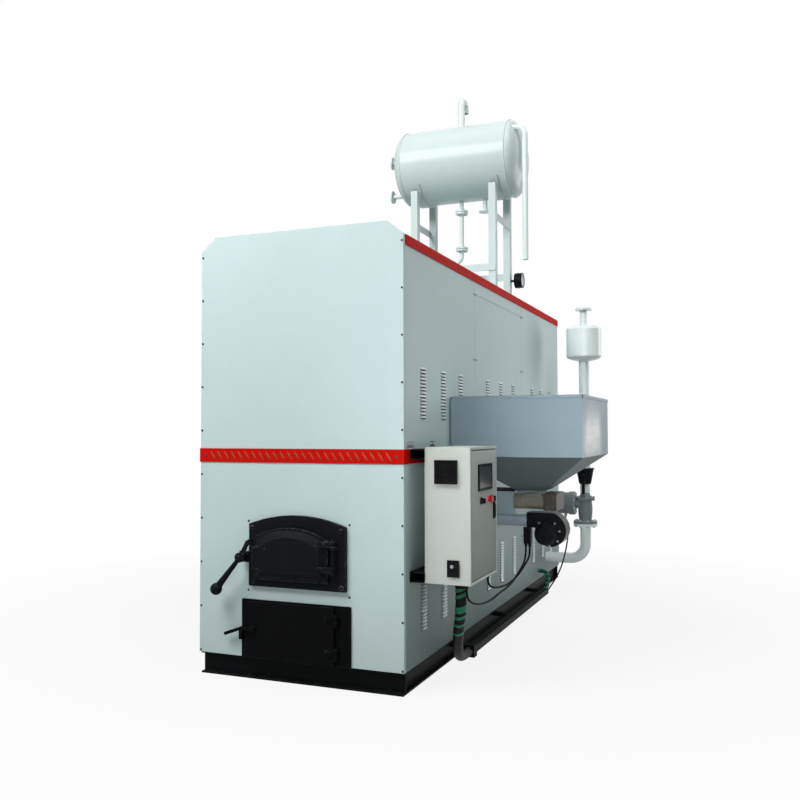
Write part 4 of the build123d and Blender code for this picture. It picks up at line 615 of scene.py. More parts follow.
# The band's raised dashes, where the enamel is rubbed to a dull copper
DASHES = Finish("enamel_rubbed_copper", "#B4593C", "#A5402A", 0.5, mottle_mm=40.0, specular=0.1)
# Stoved enamel on the cabinet: pale warm grey, fine orange peel
CABINET = Finish(
    "stoved_enamel_warm_grey",
    "#C3C9C2",
    "#BAC0B9",
    mottle_mm=250.0,
    grain_mm=3.0,
    specular=0.2,
    edge_mm=4.0,
)
# The same enamel on the cabinet's door, painted greyer and darker towards its foot, as painted shade
SHADED_DOOR = CoatedSheet(
    "stoved_enamel_painted_shade_door",
    "#BCC3BD",
    "#B3BAB4",
    grain_mm=3.0,
    specular=0.1,
    edge_mm=4.0,
    dust_and_shade="#56625A",
    dust_and_shade_top_mm=1250.0,
    dust_and_shade_foot_mm=580.0,
    dust_and_shade_share=0.75,
)
# Sprayed enamel on the burner and its ducts: blue-grey, semi-gloss
DUCTING = Finish("sprayed_enamel_blue_grey", "#8C9FA8", "#82949D", 0.35, mottle_mm=180.0, grain_mm=5.0)
# The same enamel on the hopper, with a painted glare on its outer wall
HOPPER = PaintedGlareSide(
    "sprayed_enamel_painted_glare", "#8A9DA6", "#80929B", 0.4, grain_mm=5.0, specular=0.15
)
# Duller enamel on the hopper's cone and gate, painted darker and greyer as painted shade under the hopper
SHADED_CONE = Finish(
    "sprayed_enamel_painted_shade_grey", "#6A7577", "#5F6A6B", mottle_mm=160.0, grain_mm=5.0, specular=0.06
)
# Gloss enamel on the tank: nearly white with a hint of green
GLOSS = Finish(
    "gloss_enamel_mint_white", "#CBD8D6", "#C0CECC", 0.24, mottle_mm=220.0, grain_mm=9.0, specular=0.22
)
# The same enamel on the pipework and the separator, painted paler as painted light
LIT_PIPEWORK = Finish(
    "gloss_enamel_painted_light_pipework", "#DEE9E8", "#D4E0DF", 0.24, mottle_mm=120.0, grain_mm=9.0, specular=0.3
)
# Brushed paint on the tank's stand: the same white, less shiny
STAND = Finish("brushed_paint_mint_white", "#CAD6D5", "#BECBCA", 0.4, mottle_mm=150.0, specular=0.2)
# Cast iron blackened with stove polish: dull, gritty, rubbed on its edges; the pale edge colour is also a
# painted highlight that stands for glints
IRON = WearAndGlintFinish(
    "cast_iron_black_polish",
    "#0B0D10",
    "#121417",
    0.6,
    mottle_mm=90.0,
    grain_mm=5.0,
    grain_height_mm=0.5,
    specular=0.06,
    wear_and_glint="#7C8285",
    rub_mm=6.0,
    wear_and_glint_share=0.85,
)
# Matt black paint on plain steel plate: darker than the castings
PLATE = WearAndGlintFinish(
    "steel_plate_black_paint", "#070809", "#0B0C0D", 0.55, mottle_mm=150.0, specular=0.03, wear_and_glint_share=0.4
)
# Black paint on the rolled steel skid and channel, rubbed on its edges
SKID = WearAndGlintFinish(
    "rolled_steel_black_paint", "#090B0C", "#101213", mottle_mm=120.0, specular=0.04, wear_and_glint="#4B5150"
)
# Soot on the furnace lining: black and gritty, with no shine
LINING = Finish(
    "sooted_firebrick", "#1B1917", "#2A2623", 0.9, mottle_mm=60.0, grain_mm=8.0, grain_height_mm=1.5
)
# Thin grey paint on the pump's cast iron, with pale rubbed edges
PUMP = WearAndGlintFinish(
    "cast_iron_grey_paint",
    "#5F6869",
    "#737C7C",
    0.45,
    mottle_mm=50.0,
    specular=0.3,
    wear_and_glint="#C3C9C7",
    wear_and_glint_share=0.8,
)
# Motor paint: dull olive, with lighter rubbed edges
OLIVE = WearAndGlintFinish(
    "motor_paint_olive", "#74736B", "#67655C", 0.42, mottle_mm=60.0, specular=0.3, wear_and_glint="#9C998C"
)
# Darker coat on the gearbox: brown-black olive, with lighter rubbed edges
GEARBOX = WearAndGlintFinish(
    "gearbox_paint_dark_olive", "#3A372F", "#322F29", 0.45, mottle_mm=50.0, specular=0.3, wear_and_glint="#8A877B"
)
# Moulded black plastic: dark, with a faint sheen
PLASTIC = Finish(
    "moulded_abs_black",
    "#08090A",
    "#0C0D0F",
    0.4,
    mottle_mm=40.0,
    grain_mm=1.5,
    grain_height_mm=0.08,
    specular=0.1,
)
# Rubber cable sheath: dull black
RUBBER = Finish(
    "rubber_cable_sheath", "#0A0A0A", "#0F0F0E", 0.55, mottle_mm=60.0, grain_mm=3.0, specular=0.08
)
# Flexible conduit: ribbed black plastic
CONDUIT = Banded("ribbed_conduit_black", "#0D0E0F", "#131516", mottle_mm=50.0, specular=0.08)
# Woven tape wound over the conduit: green with a dull weave
WRAP = Finish("woven_tape_green", "#0A7453", "#075A40", 0.4, mottle_mm=14.0, grain_mm=2.5, specular=0.3)
# The same tape wound in open turns over a black hose
WOUND = Banded(
    "woven_tape_open_turns",
    "#0A7050",
    "#075A40",
    mottle_mm=14.0,
    specular=0.2,
    gap_share=0.42,
    band_mm=30.0,
)
# Zinc plating on screws and bolts: bright grey metal
STEEL = Finish("zinc_plated_steel", "#AEB4B6", "#989FA2", 0.36, metallic=1.0, mottle_mm=20.0)
# Blackened screws in the casing: small dark dots with a dull shine
BLACKENED = Finish("blackened_steel_screws", "#3A4143", "#2F3537", 0.4, metallic=0.6, mottle_mm=8.0)
# Satin black paint on the blower and its motor cap: a soft highlight
BLOWER = Finish(
    "satin_paint_black", "#111316", "#17191C", 0.3, mottle_mm=40.0, grain_mm=2.0, specular=0.05
)
# Acrylic over the dark display: smooth, with a clear reflection
SCREEN = Finish(
    "acrylic_over_display", "#31393B", "#384244", 0.2, mottle_mm=80.0, grain_mm=20.0, specular=0.4
)
# Moulded red plastic of the stop button: bright, with a sharp highlight
STOP_RED = Finish("moulded_abs_red", "#C8171B", "#B81318", 0.3, mottle_mm=15.0, grain_mm=1.5)
# Painted dial plate: pale blue-grey
DIAL = Finish("painted_dial_pale", "#A9BBC2", "#B4C5CB", 0.35, mottle_mm=30.0)

NODE_FINISHES = {
    CASING: ("front_upper_panel", "rear_panel", "roof_panel"),
    MOUTHS: ("front_lower_panel",),
    SIDE: ("side_panels",),
    RED: ("red_bands",),
    SKID: ("skid_sides", "skid_members", "cable_channel", "cabinet_brackets"),
    LINING: ("floor_plate", "furnace_block", "furnace_crown", "firebox_walls", "ash_pit_walls"),
    IRON: ("grate", "fire_door_frame", "fire_door", "fire_door_lever", "shutoff_valve", "valve_lever"),
    PLATE: ("ash_door_frame", "ash_door", "ash_door_latch"),
    BLOWER: ("blower_housing", "blower_motor"),
    CABINET: ("cabinet_shell",),
    SHADED_DOOR: ("cabinet_door",),
    PLASTIC: ("door_controls", "cabinet_vents", "blower_plug", "dial_gauge"),
    HOPPER: ("hopper_bin",),
    SHADED_CONE: ("hopper_cone",),
    DUCTING: ("burner_body", "feed_screw", "air_duct"),
    OLIVE: ("feed_motor",),
    GEARBOX: ("feed_gearbox",),
    PUMP: ("pump_body", "circulation_pump"),
    GLOSS: ("tank_shell", "tank_ends"),
    LIT_PIPEWORK: ("line_pipes", "oil_gas_separator", "tank_pipes", "tank_nozzles"),
    STAND: ("tank_legs", "tank_cradles", "tank_braces"),
    WOUND: ("wrapped_duct",),
}


def deselect() -> None:
    """Leave edit mode and deselect everything."""
    if bpy.context.object and bpy.context.object.mode != "OBJECT":
        bpy.ops.object.mode_set(mode="OBJECT")
    bpy.ops.object.select_all(action="DESELECT")


def take(obj: Piece) -> None:
    """Make an object the only selected one.

    Args:
        obj: The object to take.
    """
    deselect()
    obj.select_set(True)
    bpy.context.view_layer.objects.active = obj


@contextmanager
def editing(obj: Piece) -> Iterator[None]:
    """Hold an object in edit mode with all of its mesh selected, and leave its normals outward.

    Args:
        obj: The mesh object to edit.

    Yields:
        Nothing; the object is in edit mode meanwhile.
    """
    take(obj)
    bpy.ops.object.mode_set(mode="EDIT")
    bpy.ops.mesh.select_all(action="SELECT")
    yield
    bpy.ops.mesh.select_all(action="SELECT")
    bpy.ops.mesh.normals_make_consistent(inside=False)
    bpy.ops.object.mode_set(mode="OBJECT")


def settle(obj: Piece, name: str, place: Matrix | None = None) -> Piece:
    """Name a piece, put its place in its mesh and smooth its curved faces.

    Args:
        obj: The modelled piece.
        name: Its name.
        place: Where it goes, or nothing to leave it where it is.

    Returns:
        The same piece.
    """
    take(obj)
    bpy.ops.object.transform_apply(location=True, rotation=True, scale=True)
    if place is not None:
        obj.matrix_world = place
        bpy.ops.object.transform_apply(location=True, rotation=True, scale=True)
    bpy.ops.object.shade_smooth_by_angle(angle=SMOOTH_ANGLE)
    obj.name = name
    obj.data.name = name
    return obj


def block(name: str, low: Sequence[float], high: Sequence[float], rounding: float) -> Piece:
    """Model a box between two corners, with rounded edges.

    Args:
        name: The piece's name.
        low: Its lowest corner.
        high: Its highest corner.
        rounding: The width of its edge rounding.

    Returns:
        The piece.
    """
    deselect()
    first, last = Vector(low), Vector(high)
    bpy.ops.mesh.primitive_cube_add(size=1.0, location=(first + last) / 2)
    obj = bpy.context.object
    obj.scale = last - first
    settle(obj, name)
    with editing(obj):
        bpy.ops.mesh.bevel(offset=rounding, segments=2, affect="EDGES")
    return settle(obj, name)


def press(obj: Piece, name: str, way: Way, lip: float, depth: float) -> Piece:
    """Inset the face of a block that looks one way, and push its middle in or out.

    Args:
        obj: The block.
        name: Its name.
        way: Where the face looks.
        lip: The width of the lip that stays round it.
        depth: How far its middle goes in, or out if negative.

    Returns:
        The same block.
    """
    facing = Vector(way.value)
    with editing(obj):
        bpy.ops.mesh.select_all(action="DESELECT")
        bpy.ops.mesh.select_mode(type="FACE")
        for face in bmesh.from_edit_mesh(obj.data).faces:
            face.select_set(face.normal.dot(facing) > FACING)
        bmesh.update_edit_mesh(obj.data)
        bpy.ops.mesh.inset(thickness=lip)
        bpy.ops.mesh.extrude_region_move(TRANSFORM_OT_translate={"value": tuple(facing * -depth)})
    return settle(obj, name)


def boss(name: str, size: Point, taper: Pair, sides: int) -> Piece:
    """Model a low oval boss at the origin, facing up.

    Args:
        name: The piece's name.
        size: Its length, width and height.
        taper: The share of length and width that its top keeps.
        sides: The number of sides round it.

    Returns:
        The boss.
    """
    deselect()
    length, width, height = size
    bpy.ops.mesh.primitive_circle_add(vertices=sides, radius=0.5, fill_type="NGON")
    obj = bpy.context.object
    with editing(obj):
        bpy.ops.transform.resize(value=(length, width, 1.0), center_override=(0, 0, 0))
        bpy.ops.mesh.extrude_region_move(TRANSFORM_OT_translate={"value": (0, 0, height)})
        bpy.ops.transform.resize(value=(*taper, 1.0), center_override=(0, 0, height))
    return settle(obj, name)


def turned(name: str, place: Sequence[float], way: Way, steps: Steps, sides: int = 32) -> Piece:
    """Turn a piece on an axis, by extruding a disc from step to step.

    Args:
        name: The piece's name.
        place: Where its axis starts.
        way: Where its axis points.
        steps: The distance along the axis and the radius at each step.
        sides: The number of sides round it.

    Returns:
        The piece.
    """
    deselect()
    height, radius = steps[0]
    bpy.ops.mesh.primitive_circle_add(
        vertices=sides, radius=radius, fill_type="NGON", location=(0, 0, height)
    )
    obj = bpy.context.object
    with editing(obj):
        for next_height, next_radius in steps[1:]:
            rise = (0, 0, next_height - height)
            bpy.ops.mesh.extrude_region_move(TRANSFORM_OT_translate={"value": rise})
            share = next_radius / radius
            bpy.ops.transform.resize(value=(share, share, 1.0), center_override=(0, 0, next_height))
            height, radius = next_height, next_radius
    return settle(obj, name, Matrix.Translation(place) @ turn_to(way.value))


def ring(name: str, place: Sequence[float], way: Way, radius: float, wire: float, sides: int) -> Piece:
    """Spin a round ring about an axis.

    Args:
        name: The piece's name.
        place: The ring's middle.
        way: Where its axis points.
        radius: The radius of its centreline.
        wire: How thick it is.
        sides: The number of steps round it.

    Returns:
        The piece.
    """
    deselect()
    bpy.ops.mesh.primitive_circle_add(
        vertices=8, radius=wire / 2, location=(radius, 0, 0), rotation=(math.pi / 2, 0, 0)
    )
    obj = bpy.context.object
    with editing(obj):
        bpy.ops.mesh.spin(steps=sides, angle=math.tau, center=(0, 0, 0), axis=(0, 0, 1))
        bpy.ops.mesh.select_all(action="SELECT")
        bpy.ops.mesh.remove_doubles(threshold=WELD)
    return settle(obj, name, Matrix.Translation(place) @ turn_to(way.value))


def join(pieces: Sequence[Piece], name: str) -> Piece:
    """Join pieces into one.

    Args:
        pieces: The pieces, which become one object.
        name: Its name.

    Returns:
        The joined piece.
    """
    deselect()
    for piece in pieces:
        piece.select_set(True)
    bpy.context.view_layer.objects.active = pieces[0]
    if len(pieces) > 1:
        bpy.ops.object.join()
    return settle(bpy.context.object, name)


def repeat(template: Piece, name: str, places: Places) -> Piece:
    """Copy a piece that was modelled at the origin, and join the copies.

    Args:
        template: The piece, pointing up from the origin; it is used up.
        name: The name of the joined copies.
        places: Where each copy stands and where it points.

    Returns:
        The joined copies.
    """
    copies = []
    for place, way in places:
        copy = template.copy()
        copy.data = template.data.copy()
        copy.matrix_world = Matrix.Translation(place) @ turn_to(way.value)
        bpy.context.collection.objects.link(copy)
        copies.append(copy)
    bpy.data.objects.remove(template)
    return join(copies, name)


def bolt(radius: float, height: float) -> Piece:
    """Model a hexagon bolt head on its washer at the origin, pointing up.

    Args:
        radius: The radius over its corners.
        height: Its height.

    Returns:
        The bolt head.
    """
    washer = turned("washer", (0, 0, 0), Way.UP, profile(WASHER_SHARES, height, radius), 20)
    head = turned("head", (0, 0, 0), Way.UP, profile(HEAD_SHARES, height, radius), 6)
    return join((head, washer), "bolt")


def screw(radius: float, height: float) -> Piece:
    """Model a low round screw head with a driver recess, pointing up from the origin."""
    return turned("screw", (0, 0, 0), Way.UP, profile(SCREW_SHARES, height, radius), 12)


def corners(node: str) -> tuple[Vector, Vector]:
    """Return the lowest and highest corner of a CAD node."""
    low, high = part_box(node)
    return Vector(low), Vector(high)


def dress(obj: Piece, finish: Finish) -> None:
    """Give an object one finish all over."""
    obj.data.materials.clear()
    obj.data.materials.append(finish.material())


def fit(
    obj: Piece,
    finish: Finish,
    body: Body = Body.BOILER,
    nodes: Iterable[str] = (),
) -> Piece:
    """Finish a new piece and put it on its body.

    Args:
        obj: The modelled piece.
        finish: Its finish.
        body: The body that it rides on.
        nodes: The CAD nodes that it stands for.

    Returns:
        The same piece.
    """
    dress(obj, finish)
    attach(obj, body.value)
    for node in nodes:
        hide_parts(node)
    LOG.info("piece %s on %s", obj.name, body.value)
    return obj


@dataclass(frozen=True)
class Softbox:
    """A soft area lamp that hangs at a place and looks at a target."""

    name: str
    place: Point
    target: Point
    size: float
    power: float
    spread_deg: float = 180.0

    def build(self) -> None:
        """Hang the lamp."""
        data = bpy.data.lights.new(self.name, "AREA")
        data.size = self.size
        data.energy = self.power
        data.spread = math.radians(self.spread_deg)
        lamp = bpy.data.objects.new(self.name, data)
        aim = Vector(self.target) - Vector(self.place)
        turn = aim.to_track_quat("-Z", "Y").to_matrix().to_4x4()
        lamp.matrix_world = Matrix.Translation(self.place) @ turn
        bpy.context.collection.objects.link(lamp)


@dataclass
class Studio:
    """White room, soft lights and the photograph's camera."""

    camera_place: Point = (2.2796, -6.0898, 1.3679)
    yaw_deg: float = 22.032
    pitch_deg: float = 2.037
    roll_deg: float = -0.124
    lens_mm: float = 38.695
    sensor_mm: float = 36.0
    clip_end: float = 200.0
    white: str = "#FFFFFF"
    floor_size: float = 60.0
    floor_colour: str = "#B4B4B4"
    floor_roughness: float = 0.9
    shadow_near: float = 1.8
    shadow_far: float = 4.4
    shadow_glow: float = 0.88
    ambient: float = 0.17
    softboxes: tuple[Softbox, ...] = (
        Softbox("front_softbox", (-1.7, -5.0, 6.2), (0.0, -1.9, 1.9), 3.5, 480.0),
        Softbox("fill_softbox", (3.4, -8.2, 2.4), (1.2, -0.4, 1.25), 1.5, 6.0, 22.0),
        Softbox("side_softbox", (3.4, -0.6, 6.8), (0.7, -0.2, 2.0), 2.5, 100.0),
        Softbox("rear_softbox", (4.2, 4.6, 3.0), (0.8, 1.2, 1.5), 2.5, 80.0),
        Softbox("top_softbox", (0.8, -0.5, 11.0), (0.4, 0.0, 2.0), 6.0, 80.0),
    )

    def build(self) -> None:
        """Make the camera, the lights, the world and the floor."""
        self.camera()
        self.world()
        for softbox in self.softboxes:
            softbox.build()
        self.floor()

    def camera(self) -> None:
        """Set the camera at the photograph's place and angle."""
        yaw, pitch, roll = (math.radians(value) for value in (self.yaw_deg, self.pitch_deg, self.roll_deg))
        ahead = Vector((-math.sin(yaw) * math.cos(pitch), math.cos(yaw) * math.cos(pitch), math.sin(pitch)))
        level = Vector((math.cos(yaw), math.sin(yaw), 0.0))
        upright = level.cross(ahead)
        right = level * math.cos(roll) + upright * math.sin(roll)
        up = upright * math.cos(roll) - level * math.sin(roll)
        turn = Matrix((right, up, -ahead)).transposed().to_4x4()
        data = bpy.data.cameras.new("photo_camera")
        data.lens = self.lens_mm
        data.sensor_width = self.sensor_mm
        data.clip_end = self.clip_end
        camera = bpy.data.objects.new("photo_camera", data)
        camera.matrix_world = Matrix.Translation(self.camera_place) @ turn
        bpy.context.collection.objects.link(camera)
        bpy.context.scene.camera = camera

    def seen(self, tree: Tree) -> Socket:
        """Tell the rays that look at the background from those that light the object.

        Args:
            tree: The node tree of the world or the floor.

        Returns:
            One for rays from the camera, reflections and glass, and zero for the rest.
        """
        path = add_node(tree, "ShaderNodeLightPath")
        sight = path.outputs["Is Camera Ray"]
        for ray in ("Is Glossy Ray", "Is Transmission Ray"):
            either = {0: sight, 1: path.outputs[ray]}
            sight = add_node(tree, "ShaderNodeMath", {"operation": "MAXIMUM"}, either).outputs["Value"]
        return sight

    def world(self) -> None:
        """Light the room softly, and show it white to the camera and in reflections."""
        world = bpy.data.worlds.new("white_room")
        bpy.context.scene.world = world
        bpy.context.scene.view_settings.view_transform = "Standard"
        world.use_nodes = True
        tree = world.node_tree
        tree.nodes.clear()
        plain = {"Color": linear(self.white)}
        ambient = add_node(tree, "ShaderNodeBackground", plain | {"Strength": self.ambient})
        white = add_node(tree, "ShaderNodeBackground", plain | {"Strength": 1.0})
        mix = add_node(
            tree,
            "ShaderNodeMixShader",
            None,
            {0: self.seen(tree), 1: ambient.outputs["Background"], 2: white.outputs["Background"]},
        )
        add_node(tree, "ShaderNodeOutputWorld", None, {"Surface": mix.outputs["Shader"]})

    def floor(self) -> None:
        """Lay a pale floor that keeps a soft shadow and fades to white away from the boiler."""
        deselect()
        bpy.ops.mesh.primitive_plane_add(size=self.floor_size, location=(0.0, 0.0, 0.0))
        floor = bpy.context.object
        floor.name = "studio_floor"
        made = bpy.data.materials.new("matt_paper_floor")
        made.use_nodes = True
        tree = made.node_tree
        shader = tree.nodes["Principled BSDF"]
        shader.inputs["Base Color"].default_value = linear(self.floor_colour)
        shader.inputs["Roughness"].default_value = self.floor_roughness
        shader.inputs["Specular IOR Level"].default_value = 0.0
        place = add_node(tree, "ShaderNodeTexCoord").outputs["Object"]
        distance = add_node(tree, "ShaderNodeVectorMath", {"operation": "LENGTH"}, {0: place})
        glow = add_node(
            tree,
            "ShaderNodeMapRange",
            {"From Min": self.shadow_near, "From Max": self.shadow_far, "To Min": self.shadow_glow},
            {"Value": distance.outputs["Value"]},
        )
        share = overlap(tree, (self.seen(tree), glow.outputs["Result"]))
        white = add_node(tree, "ShaderNodeEmission", {"Color": linear(self.white), "Strength": 1.0})
        mix = add_node(
            tree,
            "ShaderNodeMixShader",
            None,
            {0: share, 1: shader.outputs["BSDF"], 2: white.outputs["Emission"]},
        )
        tree.links.new(mix.outputs["Shader"], tree.nodes["Material Output"].inputs["Surface"])
        floor.data.materials.append(made)


@dataclass
class Cord:
    """A free cord on the part's own route."""

    name: str
    node: str
    length: float
    points: Sequence[Point]
    diameter: float = 0.012
    finish: Finish = RUBBER
    slot: str = "cable_rubber"
    stiffness: str = "limp"
    lay: str = "hanging"
    line_order: int = 3
    line_steps: int = 10
    round_steps: int = 6
    wraps: Sequence[float] = ()
    wrap_width: float = 0.02
    wrap_sheet: float = 0.002
    wrap_flat_share: float = 0.75
    wrap_slant_deg: float = 22.0

    def spline(self, name: str, bevel: float) -> Piece:
        """Draw the cord's smooth line.

        Args:
            name: The curve's name.
            bevel: The radius of its tube, or zero for a bare line.

        Returns:
            The curve.
        """
        data = bpy.data.curves.new(name, "CURVE")
        data.dimensions = "3D"
        data.bevel_depth = bevel
        data.bevel_resolution = self.round_steps
        data.resolution_u = self.line_steps
        data.use_fill_caps = True
        line = data.splines.new("NURBS")
        line.points.add(len(self.points) - 1)
        for spot, point in zip(line.points, self.points):
            spot.co = (*point, 1.0)
        line.order_u = self.line_order
        line.use_endpoint_u = True
        obj = bpy.data.objects.new(name, data)
        bpy.context.collection.objects.link(obj)
        return obj

    def line(self) -> list[Vector]:
        """Read the points of the cord's smooth line.

        Returns:
            The points from its exit to its far end.
        """
        bare = self.spline("bare_line", 0.0)
        mesh = bpy.data.meshes.new_from_object(bare)
        points = [vertex.co.copy() for vertex in mesh.vertices]
        bpy.data.meshes.remove(mesh)
        bpy.data.objects.remove(bare)
        return points

    def wrap(self, spot: Vector, ahead: Vector) -> Piece:
        """Model one slanted turn of tape round the cord.

        Args:
            spot: The middle of the turn.
            ahead: Where the cord's line runs there.

        Returns:
            The turn of tape.
        """
        radius = self.diameter / 2
        half = self.wrap_width / 2
        flat = half * self.wrap_flat_share
        proud = radius + self.wrap_sheet
        crest = proud + self.wrap_sheet / 2
        steps = ((-half, radius), (-flat, proud), (0.0, crest), (flat, proud), (half, radius))
        tape = turned("tape", (0, 0, 0), Way.UP, steps, sides=36)
        slant = Matrix.Identity(4)
        slant[2][0] = math.tan(math.radians(self.wrap_slant_deg))
        tape.data.transform(slant)
        return settle(tape, "tape", Matrix.Translation(spot) @ turn_to(-ahead))

    def tape(self) -> Piece:
        """Model the turns of tape along the cord.

        Returns:
            All turns in one piece.
        """
        points = self.line()
        turns = []
        for distance in self.wraps:
            left = distance
            for start, end in zip(points, points[1:]):
                run = end - start
                if run.length >= left:
                    turns.append(self.wrap(start + run.normalized() * left, run.normalized()))
                    break
                left -= run.length
        return fit(join(turns, f"{self.name}_tape"), WRAP)

    def build(self) -> None:
        cord = fit(self.spline(self.name, self.diameter / 2), self.finish, nodes=(self.node,))
        [self.tape()] if self.wraps else []


CORDS = (
    Cord(
        "cabinet_conduit",
        "conduit",
        0.871,
        (
            (0.868, -1.75, 0.57),
            (0.868, -1.75, 0.48),
            (0.8502, -1.7079, 0.385),
            (0.8163, -1.6402, 0.29),
            (0.7853, -1.5599, 0.2046),
            (0.7568, -1.4702, 0.1304),
            (0.735, -1.3698, 0.08),
            (0.723, -1.26, 0.06),
            (0.723, -1.17, 0.06),
        ),
        diameter=0.058,
        finish=CONDUIT,
        slot="conduit_plastic",
        stiffness="medium",
        wraps=(0.035, 0.068, 0.132, 0.151, 0.193, 0.248, 0.32),
    ),
    Cord(
        "blower_cable",
        "burner_cable",
        0.741,
        (
            (0.922, -1.44, 0.57),
            (0.922, -1.44, 0.532),
            (0.9267, -1.4222, 0.5015),
            (0.9368, -1.3753, 0.4838),
            (0.9519, -1.3053, 0.4749),
            (0.9711, -1.2103, 0.4733),
            (0.9906, -1.11, 0.4927),
            (1.0077, -1.0204, 0.5292),
            (1.0167, -0.9426, 0.5625),
            (1.0194, -0.8886, 0.5814),
            (1.0192, -0.8566, 0.6045),
            (1.019, -0.8465, 0.6324),
            (1.019, -0.8465, 0.6704),
        ),
    ),
    Cord(
        "motor_cable",
        "feeder_cable",
        1.116,
        (
            (0.907, -1.78, 0.57),
            (0.907, -1.78, 0.532),
            (0.9074, -1.766, 0.4939),
            (0.9112, -1.7249, 0.4644),
            (0.9155, -1.6502, 0.4403),
            (0.924, -1.5401, 0.423),
            (0.9353, -1.4299, 0.4216),
            (0.9437, -1.3403, 0.4322),
            (0.9513, -1.26, 0.4427),
            (0.9616, -1.1807, 0.4512),
            (0.9739, -1.1004, 0.4712),
            (0.9862, -1.0201, 0.5062),
            (0.9932, -0.9455, 0.5397),
            (0.9948, -0.8885, 0.5619),
            (0.995, -0.8568, 0.5964),
            (0.995, -0.8465, 0.6324),
            (0.995, -0.8465, 0.6704),
        ),
    ),
    Cord(
        "pump_lead",
        "pump_cable",
        0.808,
        (
            (0.738, 0.91, 0.06),
            (0.738, 0.948, 0.06),
            (0.7453, 0.9848, 0.0776),
            (0.7659, 1.0202, 0.1122),
            (0.7975, 1.0651, 0.1728),
            (0.824, 1.1198, 0.2558),
            (0.836, 1.1901, 0.3449),
            (0.8386, 1.2699, 0.4338),
            (0.8277, 1.3501, 0.5027),
            (0.8071, 1.403, 0.5503),
            (0.795, 1.42, 0.5863),
            (0.795, 1.42, 0.6243),
        ),
    ),
)


